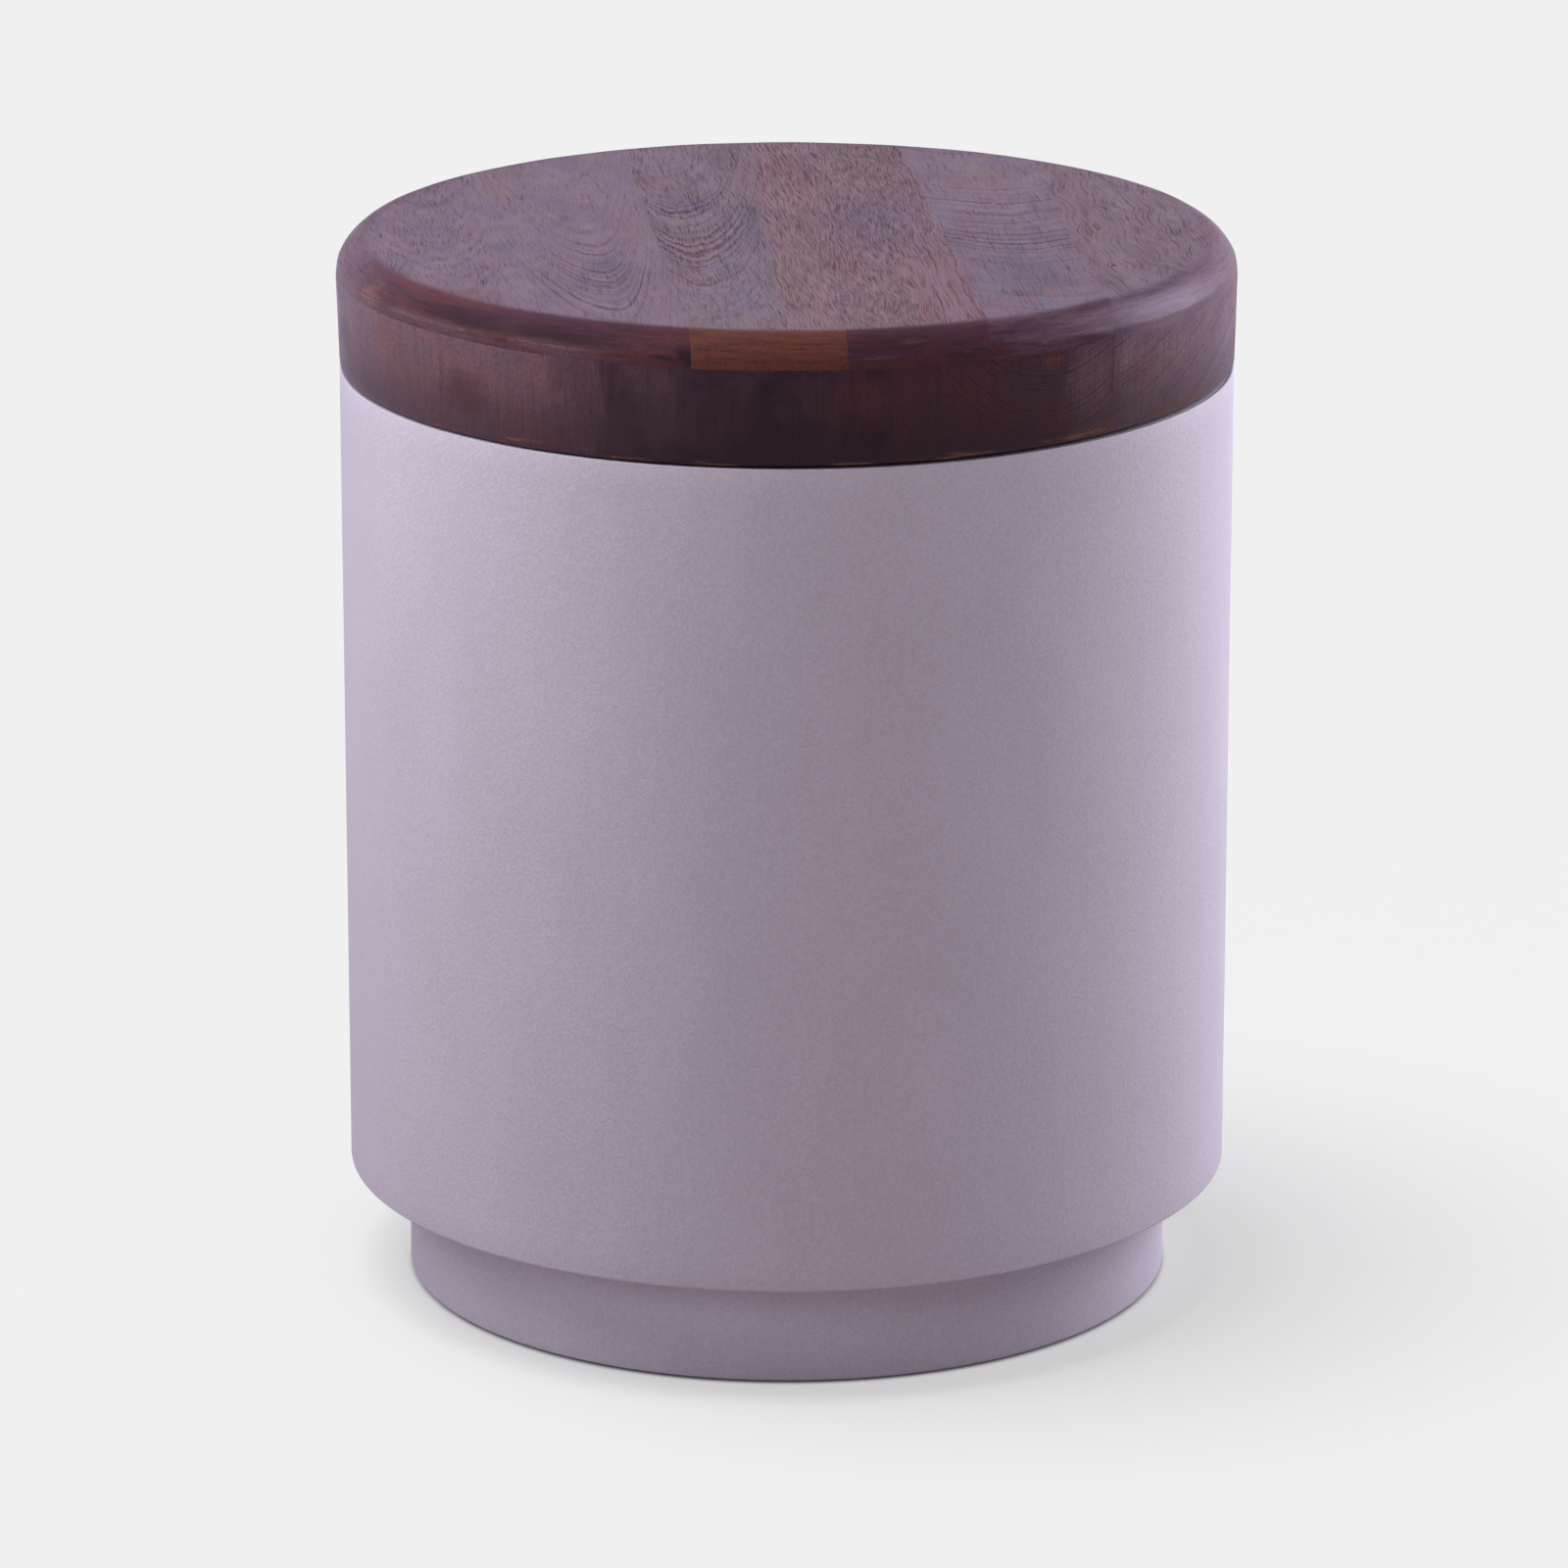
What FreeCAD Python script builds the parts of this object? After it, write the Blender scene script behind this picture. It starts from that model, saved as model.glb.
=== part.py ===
import FreeCAD, Part
import math
import os

# Drum side table: a lift-off wooden lid on a sheet-metal drum that stands on a recessed plinth.
# Millimetres. +Z is up, -Y is the front, and the origin is on the floor under the drum's axis.

# Overall sizes
OVERALL_HEIGHT = 457.0
LID_DIAMETER = 381.0
LID_OVERHANG = 1.0
PLINTH_HEIGHT = 50.0
PLINTH_RECESS = 25.5

# Wooden lid
UPPER_LAYER = 14.0
LOWER_LAYER = 40.0
ROUNDOVER_INSET = 12.5
ROUNDOVER_DROP = 17.0
LOWER_EDGE_RADIUS = 5.0

# The round-over has a soft ridge part of the way down, below which it runs into the side in a shallow curve.
# Places of the ridge and of the corner above it, as shares of the round-over's drop and inset.
RIDGE_DROP_SHARE = 0.59
RIDGE_INSET_SHARE = 0.07
ROUND_CORNER_SHARE = 0.43

# Staves: they run from front to back and are turned about the drum's axis, far end to the left.
# Joints lie across the staves and the inset block's end along them, as shares of the lid's radius.
STAVE_TURN_DEGREES = 5.5
UPPER_JOINT_SHARES = (-0.670, -0.295, 0.034, 0.342, 0.628)
LOWER_JOINT_SHARES = (-0.492, -0.182, 0.130, 0.630)
INSET_BLOCK_STAVE = 4
INSET_BLOCK_SIDE_SHARE = 0.207
INSET_BLOCK_END_SHARE = -0.285

# Battens under the lid, and their screws
BATTEN_THICKNESS = 22.0
BATTEN_WIDTH = 45.0
BATTEN_OFFSET = 70.0
BATTEN_EDGE_CHAMFER = 3.0
SCREW_DIAMETER = 4.5
SCREW_HEAD_DIAMETER = 9.0
SCREW_HEAD_HEIGHT = 3.0
SCREW_HEAD_SINK = 0.6
SCREW_BITE = 20.0
SCREW_TIP = 4.0
SCREW_SLOT_WIDTH = 1.2
SCREW_SLOT_DEPTH = 1.4
SCREW_SLOT_LENGTH = 5.0

# Felt pads between the lid and the rim
PAD_THICKNESS = 1.2
PAD_DIAMETER = 10.0
PAD_COUNT = 6

# Drum
SHELL_WALL = 1.5
SHELL_EDGE_SHARE = 0.8
HOOP_WIDTH = 16.0
HOOP_THICKNESS = 3.0
FLOOR_THICKNESS = 2.0

# Plinth
BAND_WALL = 1.5
TOP_RING_WIDTH = 32.0
TOP_RING_THICKNESS = 3.0
FOOT_RING_WIDTH = 24.0
FOOT_RING_THICKNESS = 3.0
GLIDE_THICKNESS = 1.5
GLIDE_DIAMETER = 18.0
GLIDE_COUNT = 6

# Bolts that hold the plinth to the drum floor
BOLT_COUNT = 6
BOLT_DIAMETER = 6.0
BOLT_HEAD_DIAMETER = 10.5
BOLT_HEAD_HEIGHT = 3.3
BOLT_HEAD_CROWN = 1.2
BOLT_SOCKET_ACROSS_FLATS = 4.0
BOLT_SOCKET_DEPTH = 2.0
BOLT_TAIL = 2.0
WASHER_DIAMETER = 12.0
WASHER_THICKNESS = 1.2
NUT_ACROSS_FLATS = 10.0
NUT_HEIGHT = 5.0

# Clearances
WELD_GAP = 0.1
LOCATING_CLEARANCE = 1.5
SCREW_CLEARANCE = 0.1
BOLT_HOLE_CLEARANCE = 0.3
THREAD_CLEARANCE = 0.1
CUT_OVERRUN = 5.0

# A cubic curve with its handles at this share of each leg follows a quarter of an ellipse.
QUARTER_HANDLE_SHARE = 0.5523

# Heights, from the floor up
BAND_BOTTOM = GLIDE_THICKNESS
DRUM_BOTTOM = PLINTH_HEIGHT
FLOOR_TOP = DRUM_BOTTOM + FLOOR_THICKNESS
LID_TOP = OVERALL_HEIGHT
GLUE_LINE = LID_TOP - UPPER_LAYER
LID_UNDERSIDE = GLUE_LINE - LOWER_LAYER
RIM_TOP = LID_UNDERSIDE - PAD_THICKNESS
BATTEN_UNDERSIDE = LID_UNDERSIDE - BATTEN_THICKNESS

# Radii
LID_RADIUS = LID_DIAMETER / 2
SHELL_RADIUS = LID_RADIUS - LID_OVERHANG
SHELL_BORE = SHELL_RADIUS - SHELL_WALL
HOOP_RADIUS = SHELL_BORE - WELD_GAP
HOOP_BORE = HOOP_RADIUS - HOOP_WIDTH
PAD_CIRCLE = (HOOP_RADIUS + HOOP_BORE) / 2
FLOOR_RADIUS = SHELL_BORE - WELD_GAP
BATTEN_REACH = HOOP_BORE - LOCATING_CLEARANCE
BAND_RADIUS = SHELL_RADIUS - PLINTH_RECESS
BAND_BORE = BAND_RADIUS - BAND_WALL
RING_RADIUS = BAND_BORE - WELD_GAP
TOP_RING_BORE = RING_RADIUS - TOP_RING_WIDTH
FOOT_RING_BORE = RING_RADIUS - FOOT_RING_WIDTH
BOLT_CIRCLE = (RING_RADIUS + TOP_RING_BORE) / 2
GLIDE_CIRCLE = (RING_RADIUS + FOOT_RING_BORE) / 2

CENTRE = FreeCAD.Vector(0, 0, 0)
UP = FreeCAD.Vector(0, 0, 1)
FULL_TURN_DEGREES = 360.0
HEX_SIDES = 6


def point(radius, height):
    """A point of a turned profile, in the plane y = 0."""
    return FreeCAD.Vector(radius, 0, height)


def line(start, end):
    return Part.LineSegment(start, end).toShape()


def quarter(start, corner, end):
    """A round from start to end, where the straight sides would meet in a sharp edge at corner."""
    curve = Part.BezierCurve()
    start_handle = start + (corner - start) * QUARTER_HANDLE_SHARE
    end_handle = end + (corner - end) * QUARTER_HANDLE_SHARE
    curve.setPoles([start, start_handle, end_handle, end])
    return curve.toShape()


def turned(edges):
    """The solid swept by a closed profile about the drum's axis."""
    face = Part.Face(Part.Wire(edges))
    return face.revolve(CENTRE, UP, FULL_TURN_DEGREES)


def turned_outline(points):
    """As turned, for a profile of straight lines."""
    return turned([line(a, b) for a, b in zip(points, points[1:] + points[:1])])


def disc(radius, bottom, thickness):
    return Part.makeCylinder(radius, thickness, point(0, bottom))


def ring(radius, bore, bottom, thickness):
    hole = disc(bore, bottom - CUT_OVERRUN, thickness + 2 * CUT_OVERRUN)
    return disc(radius, bottom, thickness).cut(hole)


def hexagon(across_flats, bottom, height):
    """A hexagonal prism on the drum's axis."""
    corner_radius = across_flats / 2 / math.cos(math.pi / HEX_SIDES)
    corners = []
    for side in range(HEX_SIDES + 1):
        angle = 2 * math.pi * side / HEX_SIDES
        corners.append(FreeCAD.Vector(corner_radius * math.cos(angle), corner_radius * math.sin(angle), bottom))
    return Part.Face(Part.makePolygon(corners)).extrude(UP * height)


def round_circle(shape, circle_radius, count):
    """Copies of a shape that is modelled on the axis, evenly spaced on a circle about it."""
    copies = []
    for index in range(count):
        copy = shape.copy()
        copy.translate(point(circle_radius, 0))
        copy.rotate(CENTRE, UP, FULL_TURN_DEGREES * index / count)
        copies.append(copy)
    return copies


def stave_space(across, along, heights):
    """A box in the staves' own directions, turned with them."""
    size = [high - low for low, high in (across, along, heights)]
    box = Part.makeBox(*size, FreeCAD.Vector(across[0], along[0], heights[0]))
    box.rotate(CENTRE, UP, STAVE_TURN_DEGREES)
    return box


def save(name, *shapes):
    """One file per node. A group of like pieces is saved as separate solids."""
    shape = shapes[0] if len(shapes) == 1 else Part.makeCompound(list(shapes))
    shape.exportStep("parts/" + name + ".step")


def lid_blank():
    """The whole lid as one turned solid, from which the staves are cut."""
    underside_edge = point(LID_RADIUS - LOWER_EDGE_RADIUS, LID_UNDERSIDE)
    side_low = point(LID_RADIUS, LID_UNDERSIDE + LOWER_EDGE_RADIUS)
    side_high = point(LID_RADIUS, LID_TOP - ROUNDOVER_DROP)
    ridge_inset = ROUNDOVER_INSET * RIDGE_INSET_SHARE
    ridge_drop = ROUNDOVER_DROP * RIDGE_DROP_SHARE
    ridge = point(LID_RADIUS - ridge_inset, LID_TOP - ridge_drop)
    shallow_corner = point(LID_RADIUS, LID_TOP - (ROUNDOVER_DROP + ridge_drop) / 2)
    round_corner = point(LID_RADIUS - ROUNDOVER_INSET * ROUND_CORNER_SHARE, LID_TOP)
    face_edge = point(LID_RADIUS - ROUNDOVER_INSET, LID_TOP)
    return turned([
        line(point(0, LID_UNDERSIDE), underside_edge),
        quarter(underside_edge, point(LID_RADIUS, LID_UNDERSIDE), side_low),
        line(side_low, side_high),
        quarter(side_high, shallow_corner, ridge),
        quarter(ridge, round_corner, face_edge),
        line(face_edge, point(0, LID_TOP)),
        line(point(0, LID_TOP), point(0, LID_UNDERSIDE)),
    ])


def stave_edges(joint_shares):
    """The sides of each stave of a layer: the joints, with the outermost staves open to the rim."""
    outside = LID_RADIUS + CUT_OVERRUN
    joints = [share * LID_RADIUS for share in joint_shares]
    bounds = [-outside] + joints + [outside]
    return list(zip(bounds, bounds[1:]))


def make_upper_layer(blank):
    heights = (GLUE_LINE, LID_TOP + CUT_OVERRUN)
    outside = LID_RADIUS + CUT_OVERRUN
    staves = stave_edges(UPPER_JOINT_SHARES)
    inset_sides = (INSET_BLOCK_SIDE_SHARE * LID_RADIUS, staves[INSET_BLOCK_STAVE - 1][1])
    inset_space = stave_space(inset_sides, (-outside, INSET_BLOCK_END_SHARE * LID_RADIUS), heights)
    for number, sides in enumerate(staves, 1):
        space = stave_space(sides, (-outside, outside), heights)
        if number == INSET_BLOCK_STAVE:
            space = space.cut(inset_space)
        save("upper_stave_" + str(number), blank.common(space))
    save("upper_inset_block", blank.common(inset_space))


def screw_places():
    """Across and along places of the batten screws: one where each batten crosses a lower stave."""
    outer_edge = BATTEN_OFFSET + BATTEN_WIDTH / 2
    half_length = math.sqrt(BATTEN_REACH ** 2 - outer_edge ** 2)
    places = []
    for along in (-BATTEN_OFFSET, BATTEN_OFFSET):
        for low, high in stave_edges(LOWER_JOINT_SHARES):
            low = max(low, -half_length)
            high = min(high, half_length)
            if high - low > 2 * SCREW_HEAD_DIAMETER:
                places.append(((low + high) / 2, along))
    return places


def screw_body(clearance):
    """A countersunk screw on the axis, point upwards. With a clearance it is the screw's hole."""
    head_bottom = BATTEN_UNDERSIDE + SCREW_HEAD_SINK
    neck = head_bottom + SCREW_HEAD_HEIGHT + clearance
    point_height = LID_UNDERSIDE + SCREW_BITE + clearance
    shank = SCREW_DIAMETER / 2 + clearance
    head = SCREW_HEAD_DIAMETER / 2 + clearance
    return turned_outline([
        point(0, head_bottom),
        point(head, head_bottom),
        point(shank, neck),
        point(shank, point_height - SCREW_TIP),
        point(0, point_height),
    ])


def screw_mouth():
    """The plain hole from the batten's underside up to the screw's head."""
    head = SCREW_HEAD_DIAMETER / 2 + SCREW_CLEARANCE
    return disc(head, BATTEN_UNDERSIDE - CUT_OVERRUN, CUT_OVERRUN + SCREW_HEAD_SINK)


def screw_slot():
    """The cross recess in a screw's head."""
    head_bottom = BATTEN_UNDERSIDE + SCREW_HEAD_SINK
    height = CUT_OVERRUN + SCREW_SLOT_DEPTH
    corner = FreeCAD.Vector(-SCREW_SLOT_LENGTH / 2, -SCREW_SLOT_WIDTH / 2, head_bottom - CUT_OVERRUN)
    bar = Part.makeBox(SCREW_SLOT_LENGTH, SCREW_SLOT_WIDTH, height, corner)
    across = bar.copy()
    across.rotate(CENTRE, UP, FULL_TURN_DEGREES / 4)
    return bar.fuse(across)


def at_screw_places(shape):
    copies = []
    for across, along in screw_places():
        copy = shape.copy()
        copy.translate(FreeCAD.Vector(across, along, 0))
        copy.rotate(CENTRE, UP, STAVE_TURN_DEGREES)
        copies.append(copy)
    return copies


def make_lower_layer(blank, screw_holes):
    heights = (LID_UNDERSIDE - CUT_OVERRUN, GLUE_LINE)
    outside = LID_RADIUS + CUT_OVERRUN
    for number, sides in enumerate(stave_edges(LOWER_JOINT_SHARES), 1):
        stave = blank.common(stave_space(sides, (-outside, outside), heights))
        save("lower_stave_" + str(number), stave.cut(screw_holes))


def make_battens(screw_holes):
    bounds = disc(BATTEN_REACH, BATTEN_UNDERSIDE, BATTEN_THICKNESS)
    lower_rim = [edge for edge in bounds.Edges if edge.BoundBox.ZMax < LID_UNDERSIDE - BATTEN_THICKNESS / 2]
    bounds = bounds.makeChamfer(BATTEN_EDGE_CHAMFER, lower_rim)
    heights = (BATTEN_UNDERSIDE, LID_UNDERSIDE)
    for name, side in (("batten_front", -1), ("batten_rear", 1)):
        middle = side * BATTEN_OFFSET
        along = (middle - BATTEN_WIDTH / 2, middle + BATTEN_WIDTH / 2)
        space = stave_space((-BATTEN_REACH, BATTEN_REACH), along, heights)
        save(name, bounds.common(space).cut(screw_holes))


def make_lid():
    blank = lid_blank()
    holes = Part.makeCompound(at_screw_places(screw_body(SCREW_CLEARANCE).fuse(screw_mouth())))
    make_upper_layer(blank)
    make_lower_layer(blank, holes)
    make_battens(holes)
    save("batten_screws", *at_screw_places(screw_body(0).cut(screw_slot())))
    save("rim_pads", *round_circle(disc(PAD_DIAMETER / 2, RIM_TOP, PAD_THICKNESS), PAD_CIRCLE, PAD_COUNT))


def make_drum(bolt_holes):
    edge = SHELL_WALL * SHELL_EDGE_SHARE
    side_low = point(SHELL_RADIUS, DRUM_BOTTOM + edge)
    bottom_edge = point(SHELL_RADIUS - edge, DRUM_BOTTOM)
    bore_low = point(SHELL_BORE, DRUM_BOTTOM)
    bore_high = point(SHELL_BORE, RIM_TOP)
    side_high = point(SHELL_RADIUS, RIM_TOP)
    save("drum_shell", turned([
        quarter(side_low, point(SHELL_RADIUS, DRUM_BOTTOM), bottom_edge),
        line(bottom_edge, bore_low),
        line(bore_low, bore_high),
        line(bore_high, side_high),
        line(side_high, side_low),
    ]))
    save("rim_hoop", ring(HOOP_RADIUS, HOOP_BORE, RIM_TOP - HOOP_THICKNESS, HOOP_THICKNESS))
    save("drum_floor", disc(FLOOR_RADIUS, DRUM_BOTTOM, FLOOR_THICKNESS).cut(bolt_holes))


def make_plinth(bolt_holes):
    top_ring = ring(RING_RADIUS, TOP_RING_BORE, DRUM_BOTTOM - TOP_RING_THICKNESS, TOP_RING_THICKNESS)
    save("plinth_band", ring(BAND_RADIUS, BAND_BORE, BAND_BOTTOM, DRUM_BOTTOM - BAND_BOTTOM))
    save("plinth_top_ring", top_ring.cut(bolt_holes))
    save("plinth_foot_ring", ring(RING_RADIUS, FOOT_RING_BORE, BAND_BOTTOM, FOOT_RING_THICKNESS))
    glide = disc(GLIDE_DIAMETER / 2, BAND_BOTTOM - GLIDE_THICKNESS, GLIDE_THICKNESS)
    save("floor_glides", *round_circle(glide, GLIDE_CIRCLE, GLIDE_COUNT))


def bolt():
    """A button-head bolt on the axis, head up, with a hexagon socket."""
    seat = FLOOR_TOP + WASHER_THICKNESS
    shank = BOLT_DIAMETER / 2
    head = BOLT_HEAD_DIAMETER / 2
    shank_end = DRUM_BOTTOM - TOP_RING_THICKNESS - NUT_HEIGHT - BOLT_TAIL
    crown = seat + BOLT_HEAD_HEIGHT
    body = turned_outline([
        point(0, shank_end),
        point(shank, shank_end),
        point(shank, seat),
        point(head, seat),
        point(head, crown - BOLT_HEAD_CROWN),
        point(head - BOLT_HEAD_CROWN, crown),
        point(0, crown),
    ])
    socket = hexagon(BOLT_SOCKET_ACROSS_FLATS, crown - BOLT_SOCKET_DEPTH, BOLT_SOCKET_DEPTH + CUT_OVERRUN)
    return body.cut(socket)


def make_fasteners():
    washer_bore = BOLT_DIAMETER / 2 + BOLT_HOLE_CLEARANCE
    washer = ring(WASHER_DIAMETER / 2, washer_bore, FLOOR_TOP, WASHER_THICKNESS)
    nut_bottom = DRUM_BOTTOM - TOP_RING_THICKNESS - NUT_HEIGHT
    thread = disc(BOLT_DIAMETER / 2 + THREAD_CLEARANCE, nut_bottom - CUT_OVERRUN, NUT_HEIGHT + 2 * CUT_OVERRUN)
    nut = hexagon(NUT_ACROSS_FLATS, nut_bottom, NUT_HEIGHT).cut(thread)
    save("plinth_bolts", *round_circle(bolt(), BOLT_CIRCLE, BOLT_COUNT))
    save("plinth_washers", *round_circle(washer, BOLT_CIRCLE, BOLT_COUNT))
    save("plinth_nuts", *round_circle(nut, BOLT_CIRCLE, BOLT_COUNT))


def make_base():
    hole_bottom = DRUM_BOTTOM - TOP_RING_THICKNESS - CUT_OVERRUN
    hole = disc(BOLT_DIAMETER / 2 + BOLT_HOLE_CLEARANCE, hole_bottom, FLOOR_TOP + CUT_OVERRUN - hole_bottom)
    bolt_holes = Part.makeCompound(round_circle(hole, BOLT_CIRCLE, BOLT_COUNT))
    make_drum(bolt_holes)
    make_plinth(bolt_holes)
    make_fasteners()


os.makedirs("parts", exist_ok=True)
make_lid()
make_base()
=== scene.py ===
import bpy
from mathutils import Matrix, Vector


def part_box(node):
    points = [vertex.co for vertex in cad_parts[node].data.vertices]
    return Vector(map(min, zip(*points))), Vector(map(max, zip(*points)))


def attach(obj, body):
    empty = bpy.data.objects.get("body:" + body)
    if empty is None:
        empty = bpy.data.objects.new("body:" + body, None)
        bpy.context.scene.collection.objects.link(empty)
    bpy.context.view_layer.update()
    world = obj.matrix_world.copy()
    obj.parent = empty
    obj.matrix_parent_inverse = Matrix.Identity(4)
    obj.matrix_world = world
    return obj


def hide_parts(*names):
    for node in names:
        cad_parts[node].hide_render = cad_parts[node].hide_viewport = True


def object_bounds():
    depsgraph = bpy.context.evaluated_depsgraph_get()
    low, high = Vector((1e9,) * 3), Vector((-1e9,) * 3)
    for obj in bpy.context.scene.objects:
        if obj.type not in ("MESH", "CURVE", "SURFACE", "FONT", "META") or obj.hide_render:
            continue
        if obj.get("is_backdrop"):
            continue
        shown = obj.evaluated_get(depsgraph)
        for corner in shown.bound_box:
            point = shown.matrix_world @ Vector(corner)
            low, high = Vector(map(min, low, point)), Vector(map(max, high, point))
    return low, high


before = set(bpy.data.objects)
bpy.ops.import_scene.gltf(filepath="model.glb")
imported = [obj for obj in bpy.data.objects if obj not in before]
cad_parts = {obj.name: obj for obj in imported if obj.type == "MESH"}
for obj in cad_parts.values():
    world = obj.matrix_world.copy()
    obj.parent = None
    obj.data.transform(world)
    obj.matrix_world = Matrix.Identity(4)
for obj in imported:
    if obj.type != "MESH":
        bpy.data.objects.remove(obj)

import inspect
import math
from typing import NamedTuple

import bpy
from bpy.props import FloatProperty, FloatVectorProperty, IntProperty, PointerProperty
from mathutils import Euler, Vector

bl_info = {
    "name": "Drum side table",
    "version": (1, 0, 0),
    "blender": (4, 5, 0),
    "location": "View3D > Sidebar > Drum table",
    "description": "Builds a round drum side table with a glued-up wooden lid around its CAD frame",
    "category": "Object",
}

# Metres. +Z is up, -Y is the front. Places and sizes that the frame holds are read from it.
CAD_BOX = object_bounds()
LID_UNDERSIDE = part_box("lower_stave_3")[0].z
GLUE_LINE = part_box("upper_stave_3")[0].z
LID_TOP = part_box("upper_stave_3")[1].z
LID_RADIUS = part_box("lower_stave_5")[1].x
DRUM_LOW, DRUM_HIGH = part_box("drum_shell")
PLINTH_LOW, PLINTH_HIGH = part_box("plinth_band")
PAD_LOW, PAD_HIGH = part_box("rim_pads")
MILLIMETRE = 0.001

# How finely round shapes are divided, how far toward a corner the handles of its curve reach, how near
# points are welded, and up to which angle neighbouring faces are shaded as one.
TURN_STEPS = 288
STEPS_PER_CURVE = 8
SHEET_STEPS = 32
SHEET_EDGE_STEPS = 3
SHEET_FOOT_STEPS = 5
PAD_STEPS = 40
PAD_EDGE_STEPS = 3
FLOOR_STEPS = 96
HANDLE_SHARE = 0.5523
WELD_REACH = MILLIMETRE / 100
SMOOTH_ANGLE = math.radians(28.0)
PAD_SMOOTH_ANGLE = math.radians(40.0)

# The staves: how far they are turned, the upper layer's material slots, and the joints and the inset
# block's edges as shares of the lid's radius.
STAVE_TURN = math.radians(5.5)
ACROSS = Vector((math.cos(STAVE_TURN), math.sin(STAVE_TURN), 0))
ALONG = Vector((-math.sin(STAVE_TURN), math.cos(STAVE_TURN), 0))
UPPER_JOINT_SHARES = (-0.670, -0.295, 0.034, 0.342, 0.628)
LOWER_JOINT_SHARES = (-0.492, -0.182, 0.130, 0.630)
UPPER_SLOTS = ("stave_dark", "stave_figured", "stave_figured", "stave_rosy", "stave_grey", "stave_dark")
INSET_BLOCK_STAVE = 4
INSET_BLOCK_SIDE_SHARE = 0.207
INSET_BLOCK_END_SHARE = -0.285


def length(name, millimetres, description):
    return FloatProperty(name=name, description=description, default=millimetres * MILLIMETRE,
                         subtype="DISTANCE", unit="LENGTH", precision=5)


def colour(name, value, description):
    return FloatVectorProperty(name=name, description=description, default=value,
                               subtype="COLOR", size=3, min=0.0, max=1.0)


def share(name, value, description):
    return FloatProperty(name=name, description=description, default=value,
                         subtype="FACTOR", min=0.0, max=1.0)


def strength(name, value, description):
    return FloatProperty(name=name, description=description, default=value, min=0.0)


def power(name, watts, description):
    return FloatProperty(name=name, description=description, default=watts, unit="POWER", min=0.0)


class LidSettings(bpy.types.PropertyGroup):
    roundover_inset: length("Round-over inset", 12.5, "Width of the round-over, seen from above")
    roundover_drop: length("Round-over drop", 17.0, "Height of the round-over, seen from the side")
    ridge_inset: length("Ridge inset", 0.875, "How far the ridge in the round-over lies inside the rim")
    ridge_drop: length("Ridge drop", 10.03, "How far the ridge in the round-over lies under the top")
    round_corner: length("Round corner", 5.375, "Where the line of the round-over meets that of the top")
    side_taper: length("Side taper", 1.0, "How much the lid narrows from its ridge down to its foot")
    lower_edge: length("Lower edge", 2.5, "Radius of the lower edge")
    lower_lean: length("Lower lean", 0.7, "How far the underside drops on the left and rises on the right")
    lower_sag: length("Lower sag", 0.45, "How far the whole underside lies under its true height")
    waver: length("Waver", 0.22, "Unevenness that sanding by hand leaves on the rim")
    waver_size: length("Waver size", 34.0, "Width of one wave of that unevenness")
    pad_diameter: length("Pad diameter", 10.0, "Diameter of the felt pads on the rim")
    pad_edge: length("Pad edge", 0.35, "Radius of the felt pads' edges")
    pad_count: IntProperty(name="Pads", description="Number of felt pads", default=6, min=3)


class DrumSettings(bpy.types.PropertyGroup):
    wall: length("Wall", 1.5, "Thickness of the drum's and the plinth's sheet")
    edge: length("Edge", 0.5, "Radius of the sheet's edges")
    foot_edge: length("Foot edge", 1.2, "Radius of the drum's lower edge")
    waver: length("Waver", 0.16, "Unevenness that rolling leaves in the sheet")
    waver_size: length("Waver size", 120.0, "Width of one wave of that unevenness")


class WoodSettings(bpy.types.PropertyGroup):
    plum: colour("Plum", (0.118, 0.062, 0.085), "Middle tone of the wood")
    ash: colour("Ash", (0.100, 0.062, 0.091), "Bluish grey of the figured staves")
    rosy: colour("Rosy", (0.147, 0.062, 0.075), "Pinkish tone of the middle staves")
    russet: colour("Russet", (0.078, 0.021, 0.025), "Dark red-brown of the rim")
    dusk: colour("Dusk", (0.050, 0.020, 0.033), "Dark purple-brown of the lower layer")
    # Umber is also the colour of the painted shade toward the rim's foot.
    umber: colour("Umber", (0.022, 0.009, 0.014), "Darkest tone, in growth lines and knots")
    amber: colour("Amber", (0.108, 0.032, 0.024), "Orange-brown of the pale stave's end")
    brown: colour("Brown", (0.128, 0.073, 0.070), "Greyish brown of the weathered patches")
    slate: colour("Slate", (0.062, 0.046, 0.074), "Bluish patches of the figured staves")
    pink: colour("Pink", (0.138, 0.054, 0.064), "Reddest tone of the middle staves")
    # Partly a pale tone of the wood, and partly a painted sheen on the right-hand rim, where the light from
    # the right falls.
    mist: colour("Mist", (0.175, 0.098, 0.122), "Pale bloom on the right-hand rim")
    pore: colour("Pore", (0.022, 0.012, 0.017), "Colour inside the open pores")
    # Partly bare sanded wood, and partly a painted highlight along the ridge and in glints on the rim.
    sanded: colour("Sanded", (0.240, 0.115, 0.105), "Bare wood where an edge was sanded through")
    worn: colour("Worn", (0.165, 0.068, 0.050), "Lighter wood along the worn lower edge")
    batten: colour("Batten", (0.240, 0.150, 0.090), "Unstained wood of the battens")
    # Painted shade: the rim is darkened toward its foot, where less light reaches it.
    foot_shade: share("Foot shade", 0.62, "How much darker the rim gets toward its foot")
    roughness: share("Roughness", 0.30, "Roughness of the oiled surface")
    gloss: share("Gloss", 0.12, "Strength of the oiled surface's reflection")


class PaintSettings(bpy.types.PropertyGroup):
    mauve: colour("Paint", (0.386, 0.315, 0.382), "Colour of the powder coat")
    peel_size: length("Peel size", 1.3, "Width of one bump of the coat's orange peel")
    peel_depth: length("Peel depth", 0.16, "Height of one bump of the coat's orange peel")
    roughness: share("Roughness", 0.52, "Roughness of the powder coat")


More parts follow.
